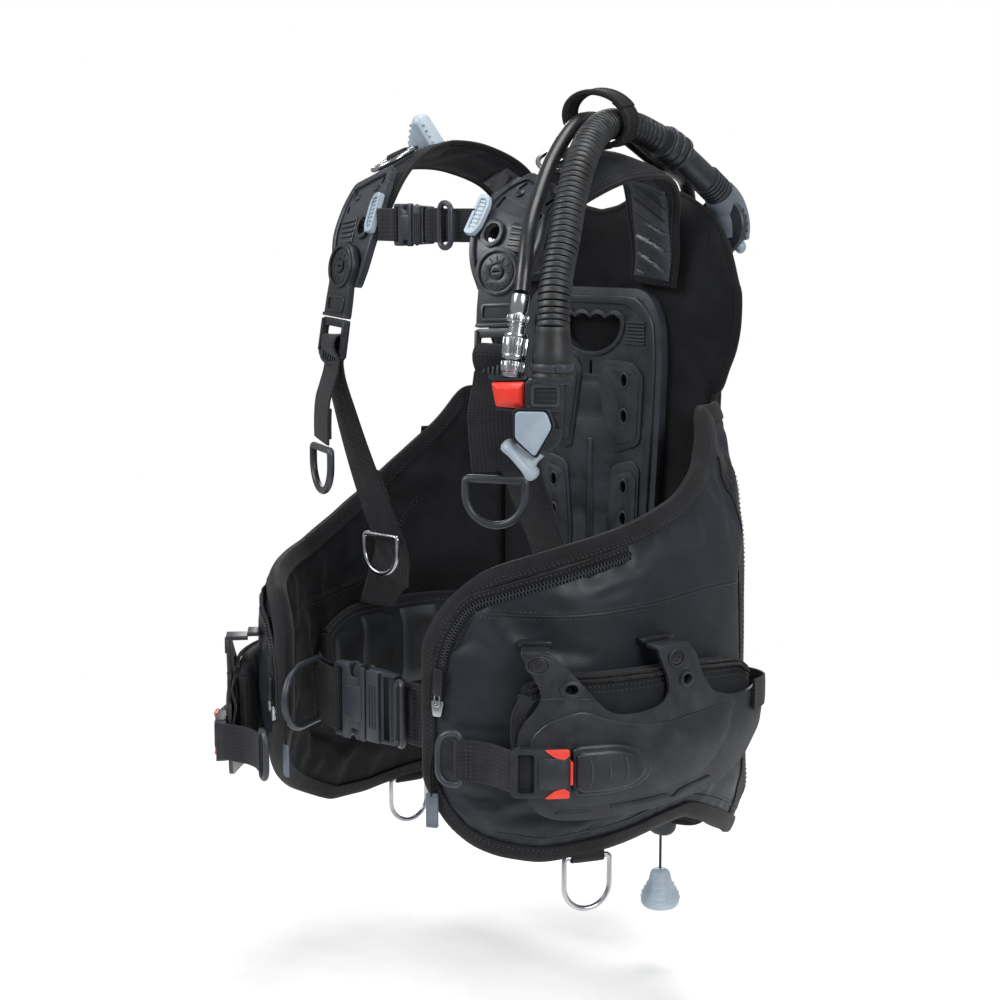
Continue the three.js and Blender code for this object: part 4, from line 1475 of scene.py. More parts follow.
def webbing_across(t):
    return Vector((0.9, 0.43, 0)).lerp(Vector((1, 0, 0)), clamp(t * 2))


def strap_webbing(side):
    drop = 0 if side == "left" else 8
    near = 12 if side == "right" else 0
    tail = [
        (86.7, -237.2, 153.2), (87.2, -241.6, 152.2), (87.6, -244.4, 147), (87.5, -242.8, 141.6),
        (87.5, -239.8, 136.5), (87.9, -240.4, 127), (88.6, -244.4, 115), (89.6, -248, 104),
        (91, -248.6, 90), (93, -247, 62 + drop),
    ]
    flat_webbing(
        f"Strap_tail_{side}", side, tail, tail_across, lambda t: mix(29, WEBBING["shoulder"], ease(t * 3)),
        f"swivel_{side}", f"strap_tail_{side}", folds=[(72 - drop, 92 - drop, -1)],
    )
    long = [
        (86.6, -236, 150), (87, -237, 126), (89 - near / 3, -228, 92), (92 - near * 0.7, -213, 50),
        (95 - near, -194, 6), (97 - near, -178, -25), (112 - near / 2, -160, -54), (134, -142, -76),
        (150, -134, -92), (153, -132, -104),
    ]

    def long_across(t):
        return Vector(webbing_across(t)).lerp(Vector((0.35, -0.94, 0)), ease((t - 0.68) / 0.24))

    flip = SIGN[side]
    flat_webbing(
        f"Shoulder_webbing_{side}", side, long, long_across, WEBBING["shoulder"], "vest",
        f"shoulder_webbing_{side}", folds=[(112, 138, -1)],
        blend=("vest", f"swivel_{side}", (flip * 0.092, -0.213, 0.05), (flip * 0.087, -0.237, 0.128)),
    )


def d_outline(width, height):
    """A D-ring's line, hanging from its straight bar along local X."""
    half, corner = width / 2, 3.0
    right = arc(half - corner, -corner, corner, corner, 90, 0, 5)
    left = arc(-half + corner, -corner, corner, corner, 180, 90, 5)
    bow = arc(0, -height + half, half, half, 0, -180, 25)
    return [(-half * 0.4, 0), (half * 0.4, 0), *right, *bow, *left]


def wire_ring(name, node, width, height, place, finish, wire=2.0):
    piece = Piece(name)
    piece.add(loop_wire(d_outline(width, height), wire, 14), finish, place)
    return piece.build(node, slot="steel" if finish == "steel" else "moulded", crease=70)


def ring_tab(name, place, width, reach, lift):
    """A short fold of webbing round a ring's bar, sewn down above it."""
    r = 3.3
    line = [
        (0, reach, -lift), (0, reach * 0.55, -lift * 0.8), (0, 5, -1.2), (0, 2.6, -r + 0.6), (0, -1, -r),
        (0, -r, -1), (0, -r, 1), (0, -1, r), (0, 3, r * 0.75), (0, reach * 0.55, 1.6 - lift * 0.4),
        (0, reach, 1.4 - lift),
    ]
    piece = Piece(name)
    piece.add(strip(Path(line), lambda t: (1, 0, 0), width, 1.6, steps=34), "webbing", place)
    for y in (reach * 0.62, reach * 0.84):
        spots = [(x, y) for x in (-width * 0.4, 0, width * 0.4)]
        points = [place((x, y, 2.9 - lift * 0.75)) for x, y in spots]
        outs = [place((x, y, 30)) - p for (x, y), p in zip(spots, points)]
        stitch_line(piece, points, outs, pitch=2.8, length=2.0)
    return piece.build(body="vest", slot="webbing")


for side in SIDES:
    left = side == "left"
    shoulder_strap(side)
    shoulder_trim(side)
    harness_plate(side)
    swivel_buckle(side)
    ladder_buckle(side)
    strap_webbing(side)

    ring_place = sided(side, seat_on(shoulder_frame(side, 0.61), 7.4, -20 if left else 0))
    wire_ring(f"Shoulder_ring_{side}", f"shoulder_ring_{side}", 36, 27, ring_place, "steel")
    ring_tab(f"Shoulder_ring_tab_{side}", ring_place, 20, 17, 2.4)

    loop_place = sided(side, seat((93, -247, 56 if left else 64), (0, 0, 1), (0.43, -0.9, 0)))
    wire_ring(f"Pull_loop_{side}", f"pull_loop_{side}", 46, 34, loop_place, "moulded", 3.0)

    web_place = sided(side, seat((96 if left else 84, -191, -12), (0, 0, 1), (0, -1, 0)))
    wire_ring(f"Webbing_ring_{side}", f"webbing_ring_{side}", 38, 32, web_place, "steel")

    hang = 96 if left else 252
    hang_frame = on_lobe(hang, read(LOBE_FOOT[side], hang) - 4)
    hang_place = sided(side, seat_on(hang_frame))
    wire_ring(f"Bottom_ring_{side}", f"bottom_ring_{side}", 36, 40, hang_place, "steel")
    ring_tab(f"Bottom_ring_tab_{side}", hang_place, 26, 22, 0.2)


# ---- Chest strap, cummerbund and waist belt ----


def chest_slider(side):
    place = sided(side, seat_on(shoulder_frame(side, 0.85), PLATE_OUT, -27))
    piece = Piece(f"Chest_slider_{side}", "grip", place)
    outline = round_corners(
        [(-5.6, -16.6), (2.6, -16.6), (5.8, -9), (5.8, 9), (2.6, 16.6), (-5.6, 16.6)], 2.6,
    )
    piece.put(slab(outline, 0.6, 4.4, soft=0.9))
    inner = round_corners([(-3.4, -12.6), (1.8, -12.6), (3.6, -8), (3.6, 8), (1.8, 12.6), (-3.4, 12.6)], 1.8)
    piece.put(slab(outline, 4, 6, [inner], soft=0.8))
    for n in range(7):
        piece.put(slab(rounded(-3, 2.6, -10.4 + n * 3.4, -9 + n * 3.4, 0.6, 2), 4.2, 5.2, soft=0.4))
    return piece.build(f"chest_slider_{side}", slot="grip")


def side_release(title, female, male, ends, middle, heights, thick, webbing):
    """A side-release buckle: a hollow socket with side windows, and a plug with two sprung prongs in it."""
    start, mouth, end = ends
    length, reach = mouth - start, end - mouth
    h, m, t = heights[0] / 2, heights[1] / 2, thick / 2
    place = lambda p: Vector((start + p[0], middle[0] - p[2], middle[1] + p[1]))
    notch = h * 0.3
    half = [
        (length * 0.3, h), (length * 0.52, h), (length * 0.57, h - notch), (length * 0.8, h - notch),
        (length * 0.86, h), (length - 0.3, h - 0.6),
    ]
    shell = round_corners([*[(x, -y) for x, y in half], *reversed(half)], 1.4)
    piece = Piece(f"{title}_socket", "moulded", place)
    for low, high in ((t - 2.1, t), (-t, -t + 2.1)):
        piece.put(slab(shell, low, high, soft=0.7))
    slot = rounded(length * 0.09, length * 0.27, -webbing / 2 - 0.8, webbing / 2 + 0.8, 1)
    block = round_corners([(0, -h), (length * 0.42, -h), (length * 0.42, h), (0, h)], 2.4)
    piece.put(slab(block, -t * 0.66, t * 0.66, [slot], soft=0.9))
    spine = rounded(length * 0.4, length - 1.5, -h * 0.13, h * 0.13, 1)
    piece.put(slab(spine, -t + 1, t - 1, soft=0.4))
    crest = round_corners(
        [
            (length * 0.36, -h * 0.42), (length * 0.9, -h * 0.5), (length * 0.9, h * 0.5),
            (length * 0.36, h * 0.42),
        ],
        3,
    )
    piece.put(slab(crest, t - 0.4, t + 0.5, soft=0.4))
    piece.build(female, slot="moulded")

    at = lambda p: Vector((mouth + 0.4 + p[0], middle[0] - p[2], middle[1] + p[1]))
    piece = Piece(f"{title}_plug", "moulded", at)
    slot = rounded(reach * 0.58, reach * 0.82, -webbing / 2 - 0.8, webbing / 2 + 0.8, 1)
    base = round_corners([(0.2, -m), (reach - 0.6, -m + 1), (reach - 0.6, m - 1), (0.2, m)], 2.2)
    piece.put(slab(base, -t * 0.6, t * 0.6, [slot], soft=0.8))
    piece.put(slab(rounded(0.3, reach * 0.46, -m + 0.4, m - 0.4, 1.6), -t + 0.5, t - 0.5, soft=0.9))
    for n in range(3):
        x = reach * (0.12 + 0.1 * n)
        piece.put(slab(rounded(x, x + 0.8, -m * 0.6, m * 0.6, 0.4, 2), t - 0.7, t + 0.1, soft=0.2))
    for sign in (-1, 1):
        prong = [
            (1, m * 0.32), (-length * 0.2, m * 0.4), (-length * 0.46, m * 0.52), (-length * 0.46, m * 0.8),
            (-length * 0.36, h + 0.3), (-length * 0.22, h + 0.2), (-length * 0.19, m * 0.72), (1, m * 0.6),
        ]
        bent = round_corners([(x, sign * y) for x, y in (prong if sign > 0 else reversed(prong))], 1.2)
        piece.put(slab(bent, -t + 2.4, t - 2.4, soft=0.5), "dark")
    piece.build(male, slot="moulded")


def belt(piece, points, z, width):
    path = Path([(x, y, z) for x, y in points])
    bm = strip(path, lambda t: (0, 0, 1), width, WEBBING["thick"], steps=70, crown=0.15)
    piece.add(bm, "webbing")


def belt_stitches(piece, x0, x1, y, z, half):
    box_stitch(piece, lambda p: Vector((mix(x0, x1, (p[1] + 1) / 2), y - p[2], z + p[0])), half, -1, 1, 0)


def chest_strap():
    y, z = -228, 240
    side_release(
        "Chest_buckle", "chest_buckle_female", "chest_buckle_male", (-26, -6, 12), (y, z), (32, 30), 9.6, 25,
    )
    piece = Piece("Chest_webbing")
    belt(
        piece,
        [
            (-52, -224), (-44, -227), (-34, -227.2), (-29, -226), (-25.4, -224.4), (-22.6, -226),
            (-22.2, -228), (-22.6, -230.4), (-25.4, -231.8), (-29, -230.6), (-37, -229.8),
        ],
        z, WEBBING["chest"],
    )
    belt(
        piece,
        [
            (17, -230), (11.6, -231.4), (8, -230.6), (6.9, -228), (8, -225.6), (12, -224.8), (18, -227),
            (40, -227.6), (52, -224),
        ],
        z, WEBBING["chest"],
    )
    belt(piece, [(12.4, -230.2), (17, -230.4), (24, -230.2), (25.6, -229.4)], z, WEBBING["chest"] + 0.8)
    for x in (14.4, 17.4, 20.4):
        belt_stitches(piece, x, x + 0.1, -231.6, z, 11)
    piece.build("chest_webbing", slot="webbing")
    loop = Piece("Chest_pull_loop")
    spots = [
        Vector((x, -231.6 - 2.2 * clamp((x - 24) / 8), z + v))
        for x, v in rounded(23, 36.5, -16.5, 16.5, 6, 7)
    ]
    loop.add(tube(spots, 2.2, 14, closed=True), "moulded")
    loop.build(body="vest", slot="moulded", crease=70)


def cummerbund_line():
    return Path(
        [
            (84, -34, -127), (116, -50, -127), (139, -84, -127), (146, -130, -127), (143, -180, -127),
            (129, -214, -127),
        ]
    )


CUMMERBUND = cummerbund_line()


def cummerbund(side):
    """A padded wing that wraps the waist, with raised panels on its inner face."""
    length = CUMMERBUND.length

    def at(p):
        f = frame_on(CUMMERBUND, lambda t: (0, 0, 1), clamp(p[1] / length))
        return f.at + f.width * p[0] + f.out * p[2]

    place = sided(side, at)
    half = lambda along: read_soft([(0, 40), (12, 43), (length * 0.75, 43), (length, 30)], along, 8) - 0.6
    padded_strip(
        f"Cummerbund_pad_{side}", f"cummerbund_{side}", place, half, (2, length - 2), 3.9, 50,
    )
    piece = Piece(f"Cummerbund_trim_{side}")
    for start, end in ((14, 56), (64, 106), (114, 152), (160, 194)):
        high = half(end) - 9
        piece.add(cushion(place, (-high, high), (start, end), 3.2, 7.0), "rubber")
    shares = [3 + (length - 6) * i / 60 for i in range(61)]
    for sign in (-1, 1):
        edge = [place((sign * half(s), s, 0)) for s in shares]
        piece.add(tube(edge, 2.4, 10), "binding")
        for face in (-1, 1):
            line = [place((sign * (half(s) - 5), s, face * 3.6)) for s in shares]
            outs = [place((0, s, face * 20)) - place((0, s, face * 10)) for s in shares]
            stitch_line(piece, line, outs)
    front = [place((a, length - 3, 0)) for a in (-29, -15, 0, 15, 29)]
    piece.add(tube(front, 2.6, 10), "binding")
    return piece.build(body="vest", slot="padding")


def waist_belt():
    y, z, width = -252, -134, WEBBING["waist"]
    side_release(
        "Waist_buckle", "waist_buckle_female", "waist_buckle_male", (-72, -35, -4), (y, z), (60, 58), 13.4,
        width,
    )
    piece = Piece("Waist_webbing")
    belt(
        piece,
        [
            (-121, -226.5), (-113, -233), (-100, -241), (-88, -245.4), (-77, -246.6), (-70.5, -245.8),
            (-66.6, -247), (-65.4, -250), (-65.6, -254), (-67.6, -257.2), (-71.4, -258.2), (-77, -256.6),
            (-88, -252.4), (-101, -246.4), (-106, -243.6), (-107.6, -240.4), (-105, -238.6),
        ],
        z, width,
    )
    belt(
        piece,
        [
            (5, -255.4), (1, -257), (-4, -257.6), (-8, -256.8), (-10.2, -254), (-10.4, -250),
            (-8.6, -247.2), (-3, -247.4), (6, -250.4), (30, -252), (76, -252), (90, -248), (102, -241),
            (112, -233.6), (120, -227),
        ],
        z, width,
    )
    belt_stitches(piece, -98, -84, -252.6, z, 21)
    belt_stitches(piece, 12, 26, -253.2, z, 21)
    piece.build("waist_webbing", slot="webbing")
    loops = Piece("Waist_pull_loops")
    rear, ahead = Vector((-104.6, -241.5, z)), Vector((-87, -296, z))
    forward = (ahead - rear).normalized()
    reach = (ahead - rear).length
    ring = [
        *arc(reach - 26, 0, 26, 25, 90, -90, 21), *arc(3, -22, 3, 3, -90, -180, 5),
        *arc(3, 22, 3, 3, 180, 90, 5),
    ]
    loops.add(
        tube([rear + forward * f + Vector((0, 0, v)) for f, v in ring], 2.9, 14, closed=True), "moulded",
    )
    small = rounded(-1.5, 9.5, z - 25, z + 25, 5, 6)
    loops.add(
        tube([Vector((x, -256.8 - max(0, x - 1) * 0.5, v)) for x, v in small], 2.5, 14, closed=True),
        "moulded",
    )
    loops.build(body="vest", slot="moulded", crease=70)


for side in SIDES:
    chest_slider(side)
    cummerbund(side)
chest_strap()
waist_belt()


# ---- Weight pouches ----

PANEL_EDGE = [  # (place, z) before the skew, from the front arm's top round to its front edge
    (46.5, -73), (64, -76), (68, -81), (78, -95), (88, -110), (95, -119), (104, -122.5), (114, -122.5),
    (128, -119.5), (134, -112), (133, -99), (128, -87), (125, -76), (151, -78), (157, -85), (164, -101.5),
    (174, -114), (195, -119), (215, -118), (236, -112), (238, -124), (232, -146), (212, -168),
    (190, -181), (165, -190), (120, -195), (80, -197), (66, -196), (58, -192), (50, -178), (46, -166),
    (45, -150), (46.5, -132), (49, -126), (55, -117), (59, -108), (58, -100), (53, -88),
]
PANEL_SWELL = [
    (53, -136), (62, -124), (80, -116), (94, -124), (108, -129), (124, -132), (142, -132), (162, -129),
    (184, -125), (196, -127), (192, -146), (176, -166), (156, -177), (112, -184), (78, -187), (64, -184),
    (54, -168),
]
POUCH_ENDS = (46, 234)


def pouch(side):
    """A soft pocket behind the panel, full of lead, with a bound and stitched mouth."""
    sewn = lobe_place(side, True)
    foot = [(46, -174), (66, -184), (216, -184), (234, -172)]
    top = [(46, -102), (64, -92), (216, -92), (234, -104)]
    middle = lambda s: (read_soft(foot, s, 9) + read_soft(top, s, 9)) / 2
    half = lambda s: (read_soft(top, s, 9) - read_soft(foot, s, 9)) / 2 - 0.6
    place = lambda p: sewn((p[1], middle(p[1]) + p[0], 26 + p[2]))
    padded_strip(
        f"Weight_pouch_{side}", f"weight_pouch_{side}", place, half, POUCH_ENDS, 9.2, 56, cap=1.4,
    )
    piece = Piece(f"Weight_pouch_trim_{side}")
    shares = spread([(s, 0) for s in (52, 228)], 3)
    for lift, depth in ((8.2, 5), (6.4, 2)):
        line = [place((half(s) - depth, s, lift)) for s, _ in shares]
        piece.add(tube(line, 1.5, 8), "binding")
    for depth in (9, 13):
        line = [place((half(s) - depth, s, 9.5)) for s, _ in shares]
        outs = [place((half(s) - depth, s, 20)) - p for (s, _), p in zip(shares, line)]
        stitch_line(piece, line, outs)
    for s in (48, 232):
        line = [place((a, s, 2.5)) for a in (-30, -18, 0, 18, 30)]
        piece.add(tube(line, 3.2, 10), "binding")
    handle = [(30, 52, 9.4), (20, 47, 11.5), (6, 45.5, 9), (-8, 47, 11), (-16, 54, 9.8)]
    path = Path([sewn((s, middle(s) + a, 26 + o)) for a, s, o in handle])
    across = lambda t: sewn((60, -130, 30)) - sewn((50, -130, 30))
    piece.add(strip(path, across, 10, 1.6, steps=26), "webbing")
    return piece.build(body="vest", slot="nylon")


def weight_panel(side):
    """The moulded panel: two screwed arms with cord holes, and a swollen middle that takes the release."""
    place = lobe_place(side, True)
    piece = Piece(f"Weight_panel_{side}", "moulded", place)
    holes = [(74, -101), (148, -103)]
    bent = lambda *args, **more: sliced(slab(*args, **more), 5)
    outline = round_corners(PANEL_EDGE, 4.5, 3)
    back, face = 38.2, 41.6
    sunk = face - 0.6  # where raised forms start, a little inside the face
    bores = [circle(x, z, 3.6, 20) for x, z in holes]
    piece.put(bent(outline, back, face, bores, soft=1.3, steps=3))
    piece.put(bent(round_corners(PANEL_SWELL, 6, 3), sunk, face + 1.4, soft=1.0, steps=3))
    for x, z in holes:
        piece.put(washer(x, z, 6.2, 3.6, sunk, face + 1.2))
    for (x, z), (a, b), top in (((57, -83), (46.5, 64), -73), ((139, -86), (126, 151), -76)):
        piece.put(washer(x, z, 6.8, 5.4, sunk, face + 1.2, soft=0.5, count=32))
        piece.put(slab(circle(x, z, 5.2, 28), face - 1, face + 0.6, soft=0.6), "dark")
        for dx, dz in ((-2.4, 0), (2.4, 0), (0, -2.4), (0, 2.4)):
            piece.put(slab(circle(x + dx, z + dz, 0.8, 10), face + 0.4, face + 1.1, soft=0.2), "dark")
        piece.put(bent(rounded(a + 1, b - 1, top - 4, top - 0.2, 1.2), 24, 41.4, soft=0.9))
        piece.put(bent(rounded(a - 1.5, b + 1.5, top - 0.4, top + 3, 1.2), 14, 24, soft=0.8), "dark")
    ridge = [
        (96, -187.6), (132, -185.4), (137, -189), (142, -185), (172, -178), (176, -180), (142, -190.6),
        (98, -191.4),
    ]
    piece.put(bent(round_corners(ridge, 1.6), sunk, face + 0.8, soft=0.6))
    piece.put(bent(rounded(66, 86, -192.5, -189.5, 1.2), sunk, face + 0.6, soft=0.5))
    crease = [place((x, z, face + 0.1)) for x, z in spread([(60, -108), (70, -107), (84, -109)], 2)]
    piece.add(tube(crease, 0.5, 6))
    return piece.build(f"weight_panel_{side}", slot="moulded")


def pouch_strap(name, side, spots, z, width):
    """Webbing over a lobe through (place, out) spots at a height. Its maker adds stitching and builds it."""
    flip, level = mirror(side), z + skew(side, 100)
    frames = [(on_lobe(place, level), out) for place, out in spots]
    path = Path([f.at + f.out * out for f, out in frames])
    piece = Piece(name)
    bm = strip(path, lambda t: (0, 0, 1), width, WEBBING["thick"], crown=0.2)
    piece.add(bm, "webbing", lambda p: flip * Vector(p))
    return piece


def release(side):
    """The receiver with its webbing slot and red tell-tales, and the ribbed grip that plugs into it."""
    place = lobe_place(side, True)
    low, high = -177, -141
    middle = (low + high) / 2
    piece = Piece(f"Pouch_receiver_{side}", "moulded", place)
    lower_edge, upper_edge = [(42.4, 2), (46, 0.2), (71.8, 1.5)], [(71.8, 1.5), (46, 0.2), (42.4, 2)]
    frame_line = [*[(s, low + z) for s, z in lower_edge], *[(s, high - z) for s, z in upper_edge]]
    frame_line = round_corners(frame_line, 3)
    slot = rounded(46.4, 55, low + 4, high - 4, 1.2)
    piece.put(sliced(slab(frame_line, 43, 51.6, [slot], soft=1.4, steps=3), 4))
    piece.put(sliced(slab(rounded(57, 71, low + 6.5, high - 6.5, 3), 51, 53, soft=0.9), 4))
    for sign in (-1, 1):
        edge = middle + sign * 17.6
        wedge = [
            (60, edge), (71.4, edge), (71.4, edge - sign * 4.6), (69, edge - sign * 7.2),
            (65, edge - sign * 5.6),
        ]
        piece.put(sliced(slab(round_corners(wedge, 1.2), 50.8, 53.4, soft=0.6), 4), "signal")
    piece.put(slab(rounded(71.9, 73.2, middle - 8.5, middle + 8.5, 0.5, 2), 45, 52.6, soft=0.3), "signal")
    piece.build(f"pouch_receiver_{side}", slot="moulded")

    piece = Piece(f"Pouch_release_{side}", "moulded", place)
    body = [
        (73.8, low), (73.8, high), (98, high), (110, high - 4), (118, high - 12), (118.6, low + 11),
        (110, low + 3), (94, low),
    ]
    piece.put(sliced(slab(round_corners(body, 5), 43.4, 49, soft=1.3, steps=3), 4))
    grip_line = [
        (75.4, low + 3.4), (75.4, high - 3.4), (97, high - 3.4), (107, high - 7), (113, high - 13),
        (113.4, low + 13), (106, low + 6), (94, low + 3.4),
    ]
    piece.put(sliced(slab(round_corners(grip_line, 5), 48, 53.4, soft=2.4, steps=4), 4))
    swollen = lambda t: 0.4 + 0.8 * math.sin(math.pi * clamp(t, 0.04, 0.96))
    for n, reach in enumerate((11.5, 11, 9.5)):
        x = 82 + n * 9.6
        rises = (-reach, -reach / 2, 0, reach / 2, reach)
        bow = [place((x + 1.6 - 1.6 * (v / reach) ** 2, middle + 0.5 + v, 53.2)) for v in rises]
        piece.add(tube(bow, swollen, 8))
    for lift in (0, 1.8):
        line = spread([(77, low + 2.2 + lift), (96, low + 3 + lift), (110, low + 8 + lift)], 3)
        piece.add(tube([place((a, b, 49.4)) for a, b in line], 0.45, 6))
    piece.build(f"pouch_release_{side}", slot="moulded")

    ahead = [
        (6, 19.4), (3.4, 20), (3.2, 22), (7, 22.8), (16, 23), (28, 28), (37, 38), (43, 44.6), (48, 46.4),
        (58, 46.8),
    ]
    strap = pouch_strap(f"Pouch_strap_{side}", side, ahead, middle, 31)
    levels = [middle + v for v in (-13, -6, 0, 6, 13)]
    for x, lift in ((12, 24.9), (15, 25.2)):
        spots = [place((x, z, lift)) for z in levels]
        outs = [place((x, z, 40)) - p for z, p in zip(levels, spots)]
        stitch_line(strap, spots, outs, pitch=2.8, length=2.0)
    strap.build(body="vest", slot="webbing")
    half_ring = Piece(f"Pouch_half_ring_{side}")
    bar = rounded(-2, 6.5, middle - 19, middle + 19, 3, 4)
    bow = [
        *arc(0, middle + 8, 9, 11, 90, 180, 8), *arc(0, middle - 8, 9, 11, 180, 270, 8), *bar[-4:], *bar[:4],
    ]
    half_ring.add(tube([place((a, b, 21)) for a, b in bow], 2.5, 12, closed=True), "moulded")
    half_ring.build(body="vest", slot="moulded", crease=70)

    behind = [(220, 43.4), (232, 43.2), (240, 40.5), (246, 33), (250, 24), (256, 16.5), (264, 13.6)]
    pouch_strap(f"Pouch_elastic_{side}", side, behind, -130, 24).build(body="vest", slot="webbing")


def hanging_tag(side):
    """A woven tag on a cord from the zip's end."""
    place, high = (-16, -138) if side == "left" else (1, -131)
    f, flip = on_lobe(place, high), mirror(side)
    ahead, out = -f.width, f.out
    lean = ahead * 2 + out * 8 if side == "left" else ahead * 5.5 + out * 3.5
    low = -172 if side == "left" else -169
    top = Vector((f.at.x, f.at.y, high))
    foot = Vector((f.at.x, f.at.y, low)) + lean
    piece = Piece(f"Hanging_tag_{side}")
    cord = Path([top + lean * 0.7, top.lerp(foot, 0.5) + lean * 0.75, foot + Vector((0, 0, -3))])
    piece.add(tube(cord.points(30), 1.3, 8), "binding", lambda p: flip * p)
    across = f.width
    at = lambda p: flip * (foot + across * p[0] + Vector((0, 0, p[1])) + out * p[2])
    piece.add(slab(rounded(-4.6, 4.6, -26, 0, 1.2), -1.3, 1.3, soft=0.5), "tag", at)
    for v in (-2.4, -23.6):
        line = [at((x, v, 1.35)) for x in (-4, 0, 4)]
        outs = [at((x, v, 9)) - p for x, p in zip((-4, 0, 4), line)]
        stitch_line(piece, line, outs, pitch=2.2, length=1.5)
    return piece.build(body="vest", slot="nylon")


for side in SIDES:
    pouch(side)
    weight_panel(side)
    release(side)
    hanging_tag(side)


# ---- Inflator, hoses' ends and dump valves ----

ELBOW_VALVE = (104, 11.2, 238)
INFLATOR_PLACE = seat((134, -257, 122), (0, 0, 1), (0.574, -0.819, 0))


def knurled(radius, low, high, bore, teeth=30, depth=0.55, edge=0.9):
    """A bored ring with teeth round it, about local Y."""
    rings = []
    for n, a in enumerate(turns(teeth * 4)):
        r = radius - depth * (1 if n % 4 in (0, 1) else 0)
        section = [
            (bore, low), (r - edge, low), (r, low + edge), (r, high - edge), (r - edge, high), (bore, high),
        ]
        rings.append([(x * math.cos(a), y, x * math.sin(a)) for x, y in section])
    return surface(rings, closed=True)


def inflator_body():
    """The body with its button housings, a plain grille whose dark bars are painted shade for its vent slots,
    and the cuff that takes the corrugated hose.
    """
    place = INFLATOR_PLACE
    piece = Piece("Inflator_body", "moulded", place)
    piece.put(slab(rounded(-1.5, 26, -11.5, 11.5, 4), -12, 12, soft=2.2, steps=3))
    piece.put(slab(rounded(-25.4, 2, -10, 10, 3), -12, -5.4, soft=1.6, steps=3))
    neck = round_corners([(-3, -6), (25.4, -6), (25.6, -24), (-8.6, -26)], 2)
    piece.put(slab(neck, -11.4, 8.9, soft=2, steps=3))
    piece.put(slab(circle(8.5, -25, 17, 56), -12, 8.9, soft=2.6, steps=4))
    bezel = [(-10, -9), (16, -9), (20.4, -22), (7, -45.4), (-10, -31.5)]
    window = [(-8.6, -10.4), (14.6, -10.4), (18.8, -22), (6.2, -43.8), (-8.6, -30.6)]
    piece.put(slab(round_corners(bezel, 3.4), 7.6, 12.4, [round_corners(window, 2.8)], soft=0.7))
    recess = rounded(5.2, 21.2, -5.4, 6, 1.2)
    piece.put(slab(rounded(3, 23.4, -7.6, 8.2, 2.2), 11.4, 13.6, [recess], soft=0.8))
    # These dark bars stand for the black vent slots: painted shade of openings, in the dark plastic finish.
    for n in range(3):
        piece.put(slab(rounded(5.8, 20.6, -4.8 + n * 3.7, -2.8 + n * 3.7, 0.8), 11.4, 13, soft=0.4), "dark")
    for x, y in ((1.2, 8.6), (24, 9), (1.2, -8)):
        piece.put(slab(circle(x, y, 1.5, 16), 11.4, 12.6, soft=0.3), "dark")
    over_neck = lambda p: place((p[0] + 17, p[1], p[2]))
    cuff = [(0, 8), (14.8, 8), (15.4, 9), (15.4, 13.4), (14.6, 14.4), (14.2, 16), (14.6, 22.6), (14.7, 26),
            (14.4, 30), (13.7, 35), (12.9, 40), (12.5, 44), (12.4, 47), (12, 48.4), (0, 48.4)]
    piece.add(turned(cuff, 44), "rubber", over_neck)
    cable_tie = [(13.8, 16.8), (15, 16.8), (15.3, 17.3), (15.3, 21.7), (15, 22.2), (13.8, 22.2)]
    piece.add(turned(cable_tie, 44), "moulded", over_neck)
    tie_head = [(20.8, 16.5), (27.2, 16.5), (27.2, 22.5), (20.8, 22.5)]
    piece.put(slab(tie_head, 12.2, 16.6, soft=0.8))
    upper_rim = [(-26.8, 9.6), (-1, 10.4), (-1, 12.2), (-26.4, 11.4)]
    lower_rim = [(-22.8, -11), (-1, -12.2), (-1, -10.4), (-23.2, -9.4)]
    for rim in (upper_rim, lower_rim):
        piece.put(slab(round_corners(rim, 0.7), -10, 7, soft=0.5))
    piece.put(slab(circle(19, -25, 6, 28), -13, -11, soft=0.6), "dark")
    return piece.build("inflator_body", slot="moulded")


def buttons():
    """The red button has a facetted face, and the shield-shaped one is flat with rounded edges."""
    place = INFLATOR_PLACE
    piece = Piece("Inflate_button")
    outline = round_corners([(-22.6, -8.6), (-2.2, -9.6), (-2.2, 9.4), (-26, 8.8)], 2.2)
    piece.add(slab(outline, -1.2, 7.4, soft=1.0), "signal", place)
    facet = [(-21.8, -7.8), (-3, -8.8), (-3, 8.6), (-25.2, 8)]
    crown = [(-18, -4.4), (-6.4, -5), (-6.4, 4.8), (-20.4, 4.4)]
    rings = [[(x, y, 7) for x, y in facet], [(x, y, 7.6) for x, y in facet], [(x, y, 11.2) for x, y in crown]]
    piece.add(soften(surface(rings), 0.9, 3), "signal", place)
    piece.build("inflate_button", slot="signal", crease=24)
    piece = Piece("Purge_button")
    shield = [(-8, -11), (14, -11), (18, -22), (6, -43), (-8, -30)]
    piece.add(slab(round_corners(shield, 3), 12.2, 16.8, soft=2.0, steps=4), "grip", place)
    piece.build("purge_button", slot="grip")


def mouthpiece():
    """A silicone mouthpiece: an oval tube that flares into a bite lip."""
    away, long = Vector((-0.755, -0.656, 0)), Vector((-0.656, 0.755, 0))
    middle = Vector((-6, -47, 0))
    steps = [
        (-15, 10.5, 8), (-9, 11, 8.2), (-5.4, 12.5, 9), (-4.2, 16.6, 11), (-2.6, 19.2, 12.4), (0, 20, 13),
        (2.6, 19.2, 12.4), (4.2, 17.4, 10.8), (4.5, 15, 8.4), (3.4, 13.6, 6.8), (-2, 12.6, 6), (-8, 10.4, 5),
    ]
    squared = lambda v: math.copysign(abs(v) ** 0.7, v)
    rings = []
    for along, wide, deep in steps:
        ring = []
        for a in turns(48):
            flare = 0.7 + 0.55 * math.cos(a) ** 2 if wide > 13 else 1
            offset = long * squared(math.cos(a)) * wide * 0.88 + Vector((0, 0, squared(math.sin(a)) * deep))
            ring.append(INFLATOR_PLACE(middle + away * along * flare + offset))
        rings.append(ring)
    piece = Piece("Mouthpiece")
    piece.add(surface(rings), "silicone")
    return piece.build("mouthpiece", slot="silicone", crease=60)


